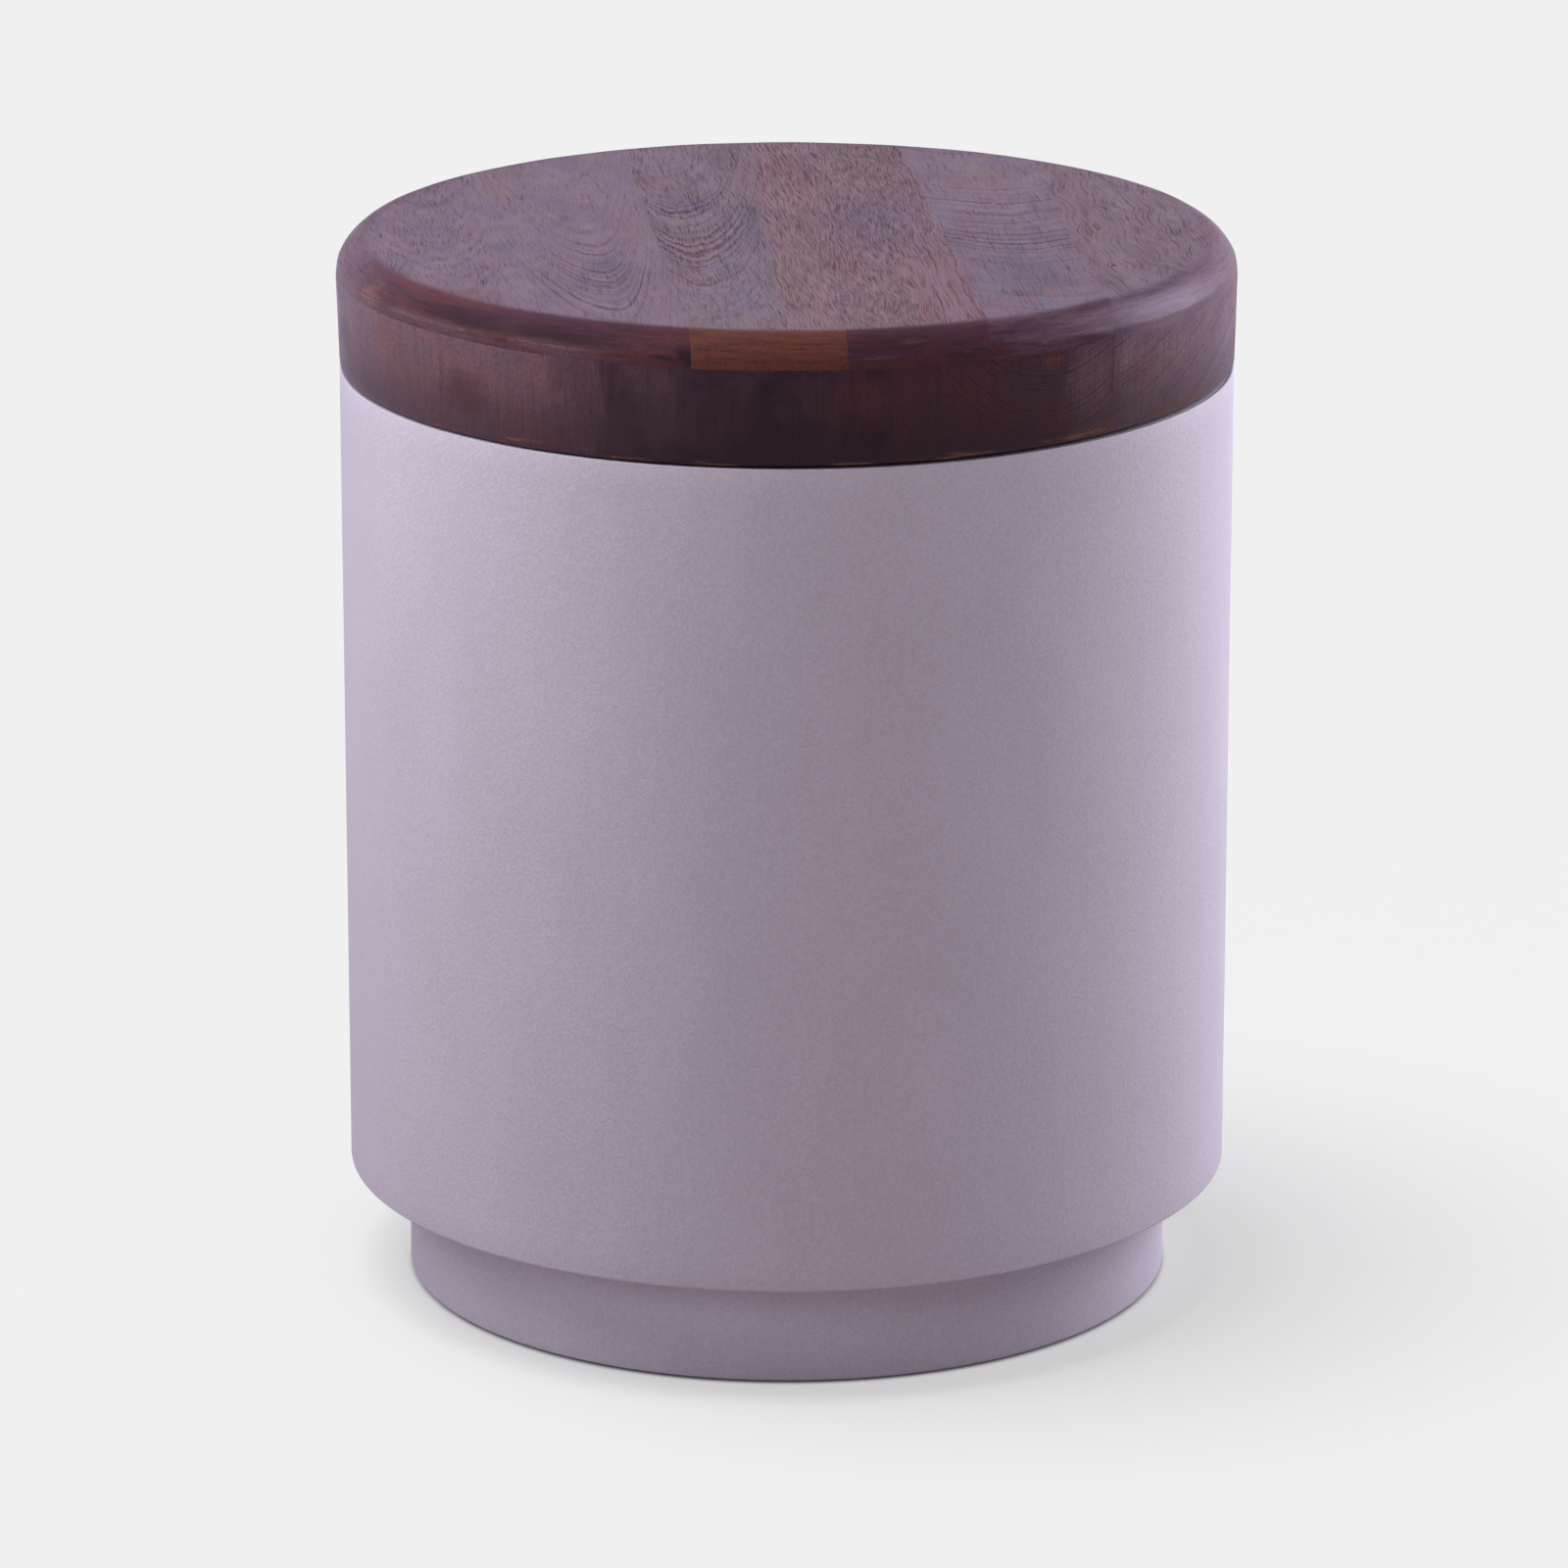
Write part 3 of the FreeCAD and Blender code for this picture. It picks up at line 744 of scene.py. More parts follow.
BOARDS = {
    "upper_stave_1": Board(
        face=("plum", "ash"), rim=("russet", "dusk"), middle=-150.0, arch=0.002, runout=0.02, ring=0.5,
        lines=0.35, pores=0.5, pore_length=15.0, sway=9.0,
        patches=[
            Patch("plum", 0.6, on_rim(-80, 450), (40, 75, 24)),
            Patch("plum", 0.45, on_rim(-50, 445.5), (60, 60, 4.5)),
            Patch("umber", 0.75, on_rim(-45, 451), (44, 44, 4.5)),
            Patch("russet", 0.8, on_rim(-48, 456), (48, 48, 2.0)),
            Patch("amber", 0.7, on_rim(-65, 450), (9, 9, 5)),
            Patch("amber", 0.4, on_rim(-70, 453), (9, 9, 3)),
            # These sanded patches are partly painted highlights: glints on the round-over and the pale
            # ridge line.
            Patch("sanded", 0.25, on_rim(-66, 448.5), (12, 12, 7)),
            Patch("rosy", 0.5, on_rim(-73, 446), (12, 12, 3)),
            Patch("sanded", 0.16, on_rim(-60, 446.6), (60, 60, 1.1)),
            Patch("rosy", 0.5, on_top(-128, -58), (5, 14, 6)),
            Patch("brown", 0.5, on_top(-130, 10), (9, 9, 6))],
        knots=[Patch("umber", 0.35, on_top(-156, 72), (9, 17, 9))]),
    "upper_stave_2": Board(
        face=("plum", "ash"), rim=("russet", "dusk"), middle=-82.0, arch=0.0127, steepness=0.62,
        runout=0.05, ring=0.9, wander=0.6, lines=1.2, area=(on_top(-84, -80), (38, 90, 30)), pores=0.36,
        patches=[
            Patch("slate", 0.7, on_top(-79, -58), (13, 24, 6)),
            Patch("umber", 0.4, on_top(-92, 35), (4, 11, 6)),
            Patch("slate", 0.6, on_top(-120, -15), (12, 12, 6)),
            Patch("brown", 0.7, on_top(-115, 100), (12, 45, 6)),
            Patch("brown", 0.6, on_top(-65, 5), (12, 30, 6)),
            Patch("brown", 0.5, on_top(-88, -35), (16, 9, 6)),
            Patch("umber", 0.5, on_top(-113, 66), (0.8, 16, 6)),
            Patch("umber", 0.5, on_top(-97, 62), (0.8, 20, 6)),
            Patch("umber", 0.5, on_top(-78, 60), (0.8, 22, 6)),
            Patch("umber", 0.8, on_rim(-30, 450.5), (40, 40, 4.5)),
            Patch("plum", 0.45, on_rim(-30, 445.5), (40, 40, 4.5)),
            # Sanded ridge line, partly a painted highlight.
            Patch("sanded", 0.20, on_rim(-31, 447.0), (36, 36, 0.8)),
            Patch("amber", 0.3, on_rim(-16, 454), (10, 10, 4)),
            Patch("worn", 0.4, on_rim(-14.4, 453), (4, 4, 3)),
            Patch("umber", 0.95, on_rim(-12.4, 448.5), (8, 8, 8)),
            Patch("umber", 0.7, on_rim(-15.2, 446.5), (9, 9, 1.8)),
            Patch("amber", 0.6, on_rim(-13.8, 447.5), (2.5, 2.5, 1.4))]),
    "upper_stave_3": Board(
        face=("ash", "brown"), rim=("amber", "amber"), middle=-43.0, arch=0.0086, steepness=1.4,
        runout=0.10, ring=1.2, wander=2.6, lines=1.15, area=(on_top(-40, -10), (46, 150, 30)), pores=0.6,
        pore_length=16.0, strip=HeartStrip(("rosy", "brown"), pores=0.8, edge=-13.5, slope=0.05),
        patches=[
            Patch("dusk", 0.35, on_top(-16, 150), (10, 40, 6)),
            Patch("slate", 0.6, on_top(-14, 10), (7, 60, 6)),
            Patch("slate", 0.4, on_top(-36, 55), (12, 20, 6)),
            Patch("brown", 0.6, on_top(-38, -30), (14, 40, 6)),
            Patch("sanded", 0.35, on_top(-4, 68), (4, 6, 6)),
            Patch("russet", 0.5, on_rim(-10.5, 452), (7, 7, 8))]),
    "upper_stave_4": Board(
        face=("rosy", "brown"), rim=("russet", "dusk"), middle=-60.0, arch=0.003, runout=0.04, ring=0.6,
        lines=0.5, mottle=0.18, pores=0.8, pore_length=14.0, sway=9.0,
        patches=[
            Patch("pink", 0.85, on_top(12, 105), (13, 90, 6)),
            Patch("slate", 0.45, on_top(40, 20), (28, 65, 6)),
            Patch("pink", 0.6, on_top(20, -70), (12, 40, 6)),
            Patch("sanded", 0.35, on_top(54, 158), (10, 6, 6)),
            Patch("umber", 0.35, on_rim(14, 452), (26, 26, 4)),
            Patch("rosy", 0.35, on_rim(11, 447), (12, 12, 1.6)),
            Patch("rosy", 0.35, on_rim(16, 452.5), (12, 12, 1.6))]),
    "upper_inset_block": Board(
        face=("pink", "rosy"), rim=("russet", "dusk"), middle=100.0, arch=0.003, runout=0.05, lines=0.15,
        mottle=0.18, pores=0.7, sway=8.0,
        patches=[
            Patch("dusk", 0.7, on_rim(23, 450), (14, 14, 16))]),
    "upper_stave_5": Board(
        face=("ash", "plum"), rim=("plum", "dusk"), middle=96.0, arch=0.0036, runout=0.20, ring=1.9,
        wander=2.6, lines=1.3, area=(on_top(93, 0), (48, 85, 30)), pores=0.4,
        patches=[
            Patch("slate", 0.6, on_top(92, -90), (26, 40, 6)),
            Patch("brown", 0.6, on_top(95, 100), (24, 40, 6)),
            Patch("mist", 0.25, on_top(92, 50), (28, 70, 6)),
            Patch("pink", 0.75, on_top(75, -137), (3, 11, 6)),
            Patch("pink", 0.85, on_top(86, -129), (3.5, 12, 6)),
            Patch("pink", 0.85, on_top(98, -122), (3, 12, 6)),
            Patch("umber", 0.35, on_top(84, -120), (8, 7, 6)),
            Patch("dusk", 0.8, on_rim(25, 449), (18, 18, 14)),
            Patch("russet", 0.6, on_rim(26, 446), (14, 14, 4)),
            Patch("plum", 0.5, on_rim(36, 446), (16, 16, 5))]),
    "upper_stave_6": Board(
        face=("plum", "brown"), rim=("plum", "ash"), middle=165.0, arch=0.004, runout=0.05, wander=2.5,
        ring=1.0, lines=0.45, pores=0.6, sway=16.0,
        patches=[
            # On the right-hand rim, the sanded line and the pale patches are partly a painted highlight and
            # sheen, where the light from the right falls.
            Patch("dusk", 0.7, on_rim(44, 449), (18, 18, 12)),
            Patch("sanded", 0.4, on_rim(59, 446.5), (45, 45, 0.7)),
            Patch("mist", 0.5, on_rim(80, 448), (30, 60, 14)),
            Patch("mist", 0.6, on_rim(54, 443.5), (28, 28, 3.5)),
            Patch("pink", 0.7, on_top(178, -14), (6, 24, 9))]),
    "lower_stave_1": Board(
        face=("plum", "plum"), rim=("rosy", "plum"), middle=-150.0, lines=0.3, ring=1.2, pores=0.3,
        patches=[
            Patch("dusk", 0.65, on_rim(-22, 424), (44, 44, 46)),
            Patch("dusk", 0.6, on_rim(-88, 425), (60, 70, 50)),
            Patch("pink", 0.7, on_rim(-60, 433), (17, 17, 13)),
            Patch("russet", 0.6, on_rim(-44, 421), (20, 20, 13)),
            Patch("rosy", 0.35, on_rim(-34, 434), (16, 16, 12)),
            Patch("rosy", 0.6, on_rim(-55, 404.5), (60, 60, 2.0))]),
    "lower_stave_2": Board(
        face=("dusk", "dusk"), rim=("dusk", "umber"), middle=-60.0, lines=0.3, ring=1.2, pores=0.3,
        patches=[
            Patch("plum", 0.5, on_rim(-25, 425), (14, 14, 44)),
            Patch("plum", 0.3, on_rim(-17, 428), (22, 22, 40)),
            Patch("umber", 0.35, on_rim(-20, 420), (16, 16, 16))]),
    "lower_stave_3": Board(
        face=("dusk", "dusk"), rim=("dusk", "umber"), middle=-10.0, arch=0.3, runout=0.02, rise=0.05,
        ring=6.0, wander=4.0, lines=0.9, pores=0.3,
        patches=[
            Patch("russet", 0.8, on_rim(9, 430), (20, 20, 18))]),
    "lower_stave_4": Board(
        face=("dusk", "dusk"), rim=("russet", "dusk"), middle=92.0, arch=0.014, rise=1.0, lines=1.9,
        ring=1.9, wander=1.3, pores=0.4,
        patches=[
            Patch("dusk", 0.7, on_rim(32, 430), (26, 26, 14)),
            Patch("amber", 0.95, on_rim(34.7, 438.5), (7, 7, 5)),
            Patch("plum", 0.8, on_rim(41, 425), (18, 18, 44)),
            Patch("russet", 0.7, on_rim(22, 429), (12, 12, 14)),
            Patch("rosy", 0.4, on_rim(41, 424), (12, 12, 20)),
            Patch("worn", 1.0, on_rim(44, 405.5), (30, 30, 6.0))]),
    "lower_stave_5": Board(
        # The rim's pale tone is partly a painted sheen from the light on the right.
        face=("plum", "plum"), rim=("mist", "plum"), middle=88.0, arch=0.006, rise=1.0, lines=1.6,
        ring=2.4, wander=1.8, pores=0.4,
        patches=[
            Patch("dusk", 0.55, on_rim(42, 424), (24, 24, 44)),
            Patch("rosy", 0.7, on_rim(51, 426), (14, 14, 11)),
            # Painted sheen on the right-hand rim.
            Patch("mist", 0.5, on_rim(64, 428), (50, 60, 30)),
            Patch("worn", 1.0, on_rim(60, 405.5), (60, 60, 6.5))]),
}


class Streaks(NamedTuple):
    """A layer of fine dark streaks: the size of their lumps, how fine they are, the span of the noise over
    which they come up, and their strength."""
    size: tuple
    detail: float
    roughness: float
    low: float
    high: float
    strength: float


FIBRES = Streaks((0.5, 14.0, 0.5), detail=2.0, roughness=0.6, low=0.35, high=0.75, strength=0.25)
UPRIGHT_STREAKS = Streaks((0.9, 0.9, 40.0), detail=2.0, roughness=0.6, low=0.42, high=0.70, strength=0.3)
LEVEL_STREAKS = Streaks((16.0, 16.0, 0.9), detail=3.0, roughness=0.65, low=0.42, high=0.72, strength=0.55)
SPECKLES = Streaks((0.8, 0.8, 1.6), detail=3.0, roughness=0.7, low=0.45, high=0.75, strength=0.55)

# Where the rim's tones begin and are full, from the axis, and its streaks and painted shade, from the
# floor.
RIM_SPAN = (RADIUS - 16.0, RADIUS - 10.0)
UPRIGHT_SPAN = (TOP - 10.0, TOP - 16.0)
LEVEL_SPAN = (TOP - 16.0, TOP - 9.0)
FOOT_SHADE_SPAN = (SEAM - 6.0, UNDERSIDE + 2.0)

# How the layers of the wood are drawn
CLOUD_SIZE = (20.0, 60.0, 20.0)
CLOUD_SHARE = 0.65
SMOKE_SIZES = {"upper": (42.0, 42.0, 5.0), "lower": (24.0, 24.0, 18.0)}
MOTTLE_SIZE = (12.0, 20.0, 12.0)
MOTTLE_SHIFT = 7.0
MOTTLE_TONES = ("slate", "brown")
LINE_STRENGTH = 0.85
LINE_BREAKS = (1.2, 7.0, 1.2)
LINE_LOSS_ON_RIM = 0.4
LINES_OUTSIDE_AREA = 0.25
HEART_COVER = 0.9
HEART_SWAY = 6.0
HEART_SWAY_SIZE = 60.0
HEART_EDGE_SPAN = (1.0, 4.0)
HEART_LINE_LOSS = 0.8
PORE_STRENGTH = 0.56
PORE_WIDTH = 0.30
PORE_LOSS_ON_RIM = 0.75
# The ridge's wear is sanded wood, and partly a painted highlight along the ridge.
RIDGE_WEAR = 0.25
FOOT_WEAR = 0.6

# What the layers add to the roughness, and how deep they are
CLOUD_ROUGHNESS = 0.10
PORE_ROUGHNESS = 0.35
LINE_ROUGHNESS = 0.2
PORE_DEPTH = 0.04 * MILLIMETRE
LINE_DEPTH_SHARE = 0.5


class StaveWood(Surface):
    """Oiled wood of one stave: slow tones, growth lines and pores, darker round the rim, with painted shade
    toward its foot, and worn along its edges, where the ridge also carries a painted highlight."""

    def __init__(self, node, settings):
        super().__init__(node + "_wood")
        self.board = BOARDS[node]
        self.wood = settings.wood
        self.ridge = (LID_TOP - settings.lid.ridge_drop) / MILLIMETRE
        self.smoke_size = SMOKE_SIZES[node.split("_")[0]]
        self.grain = self.rotated(self.place, -STAVE_TURN)
        self.height = self.split(self.place)[2]
        self.rim = self.step(self.radius(self.place), *RIM_SPAN)

    def drawn(self):
        """Draws the wood layer by layer and gives back its material."""
        board = self.board
        wood = self.wood
        cloud = self.clouds(self.grain, CLOUD_SIZE)
        lines, ring_tone = self.figure()
        factor = self.total(self.product(cloud, CLOUD_SHARE), ring_tone, 1.0 - CLOUD_SHARE)
        face = self.face_tones(factor)
        pore_share = board.pores
        if board.strip:
            heart = self.heart()
            face = self.mix(self.product(heart, HEART_COVER), face, self.blend(factor, board.strip.face))
            lines = self.product(lines, self.total(1.0, heart, -HEART_LINE_LOSS))
            pore_share = self.total(board.pores, heart, board.strip.pores - board.pores)
        side = self.blend(self.clouds(self.place, self.smoke_size), board.rim)
        pores = self.pores(pore_share)
        base = self.with_patches(self.mix(self.rim, face, side))
        base = self.with_streaks(base)
        base = self.mix(self.product(lines, LINE_STRENGTH), base, wood.umber)
        base = self.mix(self.product(pores, PORE_STRENGTH), base, wood.pore)
        rough = self.total(wood.roughness - CLOUD_ROUGHNESS / 2, cloud, CLOUD_ROUGHNESS)
        grooves = self.total(self.product(pores, PORE_ROUGHNESS), lines, LINE_ROUGHNESS)
        rough = self.math("ADD", rough, grooves, clamp=True)
        self.feed_shader({"Base Color": self.with_wear(base), "Roughness": rough,
                          "Specular IOR Level": wood.gloss})
        self.bump(self.total(self.product(pores, -1.0), lines, -LINE_DEPTH_SHARE), PORE_DEPTH)
        return self.material

    def tone(self, name):
        return getattr(self.wood, name)

    def blend(self, factor, tones):
        """A mix of two of the wood's tones, given by their names."""
        first, second = tones
        return self.mix(factor, self.tone(first), self.tone(second))

    def clouds(self, place, size):
        return self.placed(cloudy_tone, place=place, size=size)["tone"]

    def patch_mask(self, centre, half):
        return self.placed(soft_patch, place=self.grain, centre=centre, half=half)["mask"]

    def figure(self):
        """How strongly the growth lines show, and the slow tone that follows them."""
        board = self.board
        rings = self.placed(growth_rings, place=self.grain, middle=board.middle, arch=board.arch,
                            steepness=board.steepness, runout=board.runout, rise=board.rise,
                            wander=board.wander, width=board.ring)
        shown = self.total(1.0, self.rim, -LINE_LOSS_ON_RIM)
        if board.area:
            area = self.patch_mask(*board.area)
            shown = self.product(shown, self.total(LINES_OUTSIDE_AREA, area, 1.0 - LINES_OUTSIDE_AREA))
        unbroken = self.step(self.noise(self.grain, LINE_BREAKS, detail=1.0), 0.15, 0.60)
        shown = self.product(shown, unbroken, board.lines)
        return self.product(rings["line"], shown), rings["tone"]

    def face_tones(self, factor):
        """The two tones of the board's face, with a mottling that is shifted from board to board."""
        face = self.blend(factor, self.board.face)
        shifted = self.vector("ADD", self.grain, (0.0, MOTTLE_SHIFT * self.board.middle, 0.0))
        mottle = self.blend(self.clouds(shifted, MOTTLE_SIZE), MOTTLE_TONES)
        return self.mix(self.board.mottle, face, mottle)

    def heart(self):
        """1 on the board's heart strip and 0 beside it."""
        strip = self.board.strip
        across, along, _ = self.split(self.grain)
        sway = self.noise(self.join(0.0, along, 0.0), (HEART_SWAY_SIZE,) * 3)
        edge = self.total(self.total(strip.edge, along, strip.slope), sway, HEART_SWAY)
        return self.step(self.math("SUBTRACT", across, edge), *HEART_EDGE_SPAN)

    def pores(self, amount):
        """The open pores. There are few of them round the rim."""
        pores = self.placed(pore_strokes, place=self.grain, stroke_length=self.board.pore_length,
                            stroke_width=PORE_WIDTH, amount=amount, sway=self.board.sway)["pores"]
        return self.product(pores, self.total(1.0, self.rim, -PORE_LOSS_ON_RIM))

    def with_patches(self, base):
        """Lays the board's patches and knots over its slow tones."""
        masks = [(patch, self.patch_mask(patch.centre, patch.half)) for patch in self.board.patches]
        for knot in self.board.knots:
            rings = self.placed(knot_rings, place=self.grain, centre=knot.centre, half=knot.half)
            masks.append((knot, rings["dark"]))
        for patch, mask in masks:
            base = self.mix(self.product(mask, patch.strength), base, self.tone(patch.tone))
        return base

    def streaked(self, base, place, streaks, *masks):
        """Lays a layer of streaks over a colour, within its masks."""
        noise = self.noise(place, streaks.size, streaks.detail, streaks.roughness)
        shown = self.product(self.step(noise, streaks.low, streaks.high), *masks, streaks.strength)
        return self.mix(shown, base, self.wood.umber)

    def with_streaks(self, base):
        """Lays fibres along the grain over a colour, and streaks and speckles over the rim."""
        upright = self.step(self.height, *UPRIGHT_SPAN)
        level = self.step(self.height, *LEVEL_SPAN)
        base = self.streaked(base, self.grain, FIBRES)
        base = self.streaked(base, self.place, UPRIGHT_STREAKS, upright)
        base = self.streaked(base, self.place, LEVEL_STREAKS, self.rim, level)
        return self.streaked(base, self.place, SPECKLES, self.rim)

    def with_wear(self, base):
        """Paints shade that darkens the lid toward its foot, and then wears its ridge, partly a painted
        highlight, and its lower edge.
        """
        wood = self.wood
        # Painted shade: the rim darkens toward umber near its foot.
        shade = self.product(self.step(self.height, *FOOT_SHADE_SPAN), wood.foot_shade)
        base = self.mix(shade, base, wood.umber)
        # Along the ridge: sanded wood, and a painted highlight.
        ridge = self.placed(worn_line, place=self.place, height=self.ridge, reach=1.0, patch=14.0,
                            amount=0.35)
        base = self.mix(self.product(ridge["wear"], RIDGE_WEAR), base, wood.sanded)
        foot = self.placed(worn_line, place=self.place, height=UNDERSIDE, reach=5.0, patch=26.0,
                           amount=0.5)
        return self.mix(self.product(foot["wear"], self.rim, FOOT_WEAR), base, wood.worn)


def batten_material(settings):
    """Plain unstained wood of the battens."""
    dark_share = 0.55
    cloud_strength = 0.35
    line_strength = 0.6
    wood = Surface("batten_wood")
    grain = wood.rotated(wood.place, math.pi / 2 - STAVE_TURN)
    cloud = wood.placed(cloudy_tone, place=grain, size=(9.0, 90.0, 9.0))["tone"]
    line = wood.placed(growth_rings, place=grain, middle=0.0, arch=0.004, steepness=1.0, runout=0.03,
                       rise=1.0, wander=4.0, width=2.4)["line"]
    light = settings.wood.batten
    dark = [dark_share * part for part in light]
    base = wood.mix(wood.product(cloud, cloud_strength), light, dark)
    base = wood.mix(wood.product(line, line_strength), base, dark)
    wood.feed_shader({"Base Color": base, "Roughness": wood.total(0.55, line, 0.2)})
    wood.bump(wood.product(line, -1.0), depth=0.05 * MILLIMETRE)
    return wood.material


# Metal, felt and plastic

def paint_material(settings):
    """Satin-matte powder coat with a fine orange peel. It is mixed once."""
    if "powder_coat" in bpy.data.materials:
        return bpy.data.materials["powder_coat"]
    contrast = 0.08
    mottle_share = 0.25
    rough_change = 0.1
    paint = settings.paint
    coat = Surface("powder_coat")
    peel = coat.placed(orange_peel, place=coat.place, width=paint.peel_size / MILLIMETRE)
    pale = [(1 + contrast) * part for part in paint.mauve]
    deep = [(1 - contrast) * part for part in paint.mauve]
    tone = coat.total(coat.product(peel["mottle"], mottle_share), peel["height"], 1 - mottle_share)
    rough = coat.total(paint.roughness - rough_change / 2, peel["mottle"], rough_change)
    coat.feed_shader({"Base Color": coat.mix(coat.step(tone, 0.3, 0.7), deep, pale), "Roughness": rough})
    coat.bump(peel["height"], paint.peel_depth)
    return coat.material


def zinc_material():
    """Zinc-plated steel of the screws, bolts, washers and nuts. It is made once."""
    if "zinc_plate" in bpy.data.materials:
        return bpy.data.materials["zinc_plate"]
    zinc = Surface("zinc_plate")
    lump = 1 / 0.9
    cloud = zinc.noise(zinc.place, (lump, lump, lump), detail=4.0, roughness=0.6)
    base = zinc.mix(cloud, (0.50, 0.50, 0.49), (0.72, 0.71, 0.68))
    zinc.feed_shader({"Base Color": base, "Roughness": zinc.total(0.22, cloud, 0.3), "Metallic": 1.0})
    zinc.bump(cloud, depth=0.02 * MILLIMETRE)
    return zinc.material


def felt_material():
    """Dark pressed felt."""
    felt = Surface("felt")
    lump = 1 / 3.0
    fibre = felt.noise(felt.place, (lump, lump, lump), detail=6.0, roughness=0.7, distortion=1.5)
    base = felt.mix(fibre, (0.022, 0.020, 0.020), (0.085, 0.078, 0.078))
    felt.feed_shader({"Base Color": base, "Roughness": felt.total(0.85, fibre, 0.15), "Sheen Weight": 0.3})
    felt.bump(fibre, depth=0.2 * MILLIMETRE)
    return felt.material


def glide_material():
    """Smooth black plastic, scuffed underneath."""
    plastic = Surface("glide_plastic")
    scuff_size = (1 / 2.2, 1 / 0.4, 1 / 2.2)
    scuff = plastic.noise(plastic.place, scuff_size, detail=5.0, roughness=0.65)
    base = plastic.mix(plastic.step(scuff, 0.5, 0.75), (0.022, 0.022, 0.023), (0.075, 0.074, 0.072))
    plastic.feed_shader({"Base Color": base, "Roughness": plastic.total(0.35, scuff, 0.35)})
    plastic.bump(scuff, depth=0.03 * MILLIMETRE)
    return plastic.material


# Stage

class Lamp(NamedTuple):
    """Where a lamp stands and how wide it is. Azimuth 0 is in front and 90 on the right, in degrees."""
    azimuth: float
    distance: float
    height: float
    size: float


LAMPS = {
    "left_light": Lamp(azimuth=-80.0, distance=0.8, height=0.80, size=0.5),
    "left_fill": Lamp(azimuth=-55.0, distance=0.6, height=0.85, size=0.4),
    "plinth_fill": Lamp(azimuth=-25.0, distance=1.2, height=0.7, size=0.4),
    "right_light": Lamp(azimuth=122.0, distance=1.4, height=0.7, size=0.9),
    "right_fill": Lamp(azimuth=85.0, distance=1.4, height=1.0, size=0.9),
}
KEY_AZIMUTH = math.radians(-82.0)
KEY_ELEVATION = math.radians(76.0)
KEY_SPREAD = math.radians(34.0)
SENSOR_WIDTH = 36.0


def hang_key_light(stage):
    """A distant light from above on the left, which reflections don't show."""
    turn = Euler((math.pi / 2 - KEY_ELEVATION, 0, KEY_AZIMUTH))
    bpy.ops.object.light_add(type="SUN", rotation=turn)
    lamp = bpy.context.active_object
    lamp.name = "key_light"
    lamp.data.energy = stage.key_light
    lamp.data.angle = KEY_SPREAD
    lamp.visible_glossy = False


def set_lamp(name, stand, stage, floor):
    """A square lamp that faces the table and leaves the floor alone, so that the floor stays evenly lit."""
    azimuth = math.radians(stand.azimuth)
    place = Vector((stand.distance * math.sin(azimuth), -stand.distance * math.cos(azimuth), stand.height))
    target = Vector((0, 0, LID_TOP / 2))
    turn = (place - target).to_track_quat("Z", "Y").to_euler()
    bpy.ops.object.light_add(type="AREA", location=place, rotation=turn)
    lamp = bpy.context.active_object
    lamp.name = name
    lamp.data.energy = getattr(stage, name)
    lamp.data.size = stand.size
    lamp.data.color = stage.lamp_tint
    lamp.visible_camera = False
    lamp.visible_glossy = False
    unlit = bpy.data.collections.new(name + "_leaves_out")
    unlit.objects.link(floor)
    lamp.light_linking.receiver_collection = unlit
    unlit.collection_objects[0].light_linking.link_state = "EXCLUDE"


def light_alone(lamp_name, piece):
    """Lets a lamp light one piece and nothing else."""
    lit = bpy.data.collections.new(lamp_name + "_lights")
    lit.objects.link(piece)
    bpy.data.objects[lamp_name].light_linking.receiver_collection = lit


def lay_floor(stage):
    """A pale floor. It shows part of the white surroundings to the camera, and keeps the table's shadow."""
    bpy.ops.object.select_all(action="DESELECT")
    bpy.ops.mesh.primitive_circle_add(vertices=FLOOR_STEPS, radius=stage.floor_radius, fill_type="NGON")
    floor = bpy.context.active_object
    floor.name = "floor"
    dress(floor, floor_material(stage))
    floor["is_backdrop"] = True
    return floor


def floor_material(stage):
    """White paper that stays dark under the plinth, where no light reaches."""
    mirror_share = 0.8
    plinth = PLINTH_HIGH.x / MILLIMETRE
    dark_to = plinth - 3.0
    clear_from = plinth + 2.0
    paper = Surface("floor_paper")
    paper.feed_shader({"Base Color": opaque(stage.floor), "Roughness": 0.9, "Specular IOR Level": 0.0})
    white = paper.node("Emission", {"Color": opaque(stage.backdrop), "Strength": 1.0}).outputs[0]
    mirrored = paper.node("Emission", {"Color": opaque(stage.reflection), "Strength": 1.0}).outputs[0]
    path = paper.node("LightPath").outputs
    clear = paper.step(paper.radius(paper.place), dark_to, clear_from)
    seen = paper.product(path["Is Camera Ray"], clear, stage.backdrop_share)
    surface = paper.node("MixShader", {0: seen, 1: paper.shader.outputs[0], 2: white}).outputs[0]
    reflected = paper.product(path["Is Glossy Ray"], mirror_share)
    surface = paper.node("MixShader", {0: reflected, 1: surface, 2: mirrored}).outputs[0]
    paper.feed(paper.tree.nodes["Material Output"].inputs["Surface"], surface)
    return paper.material


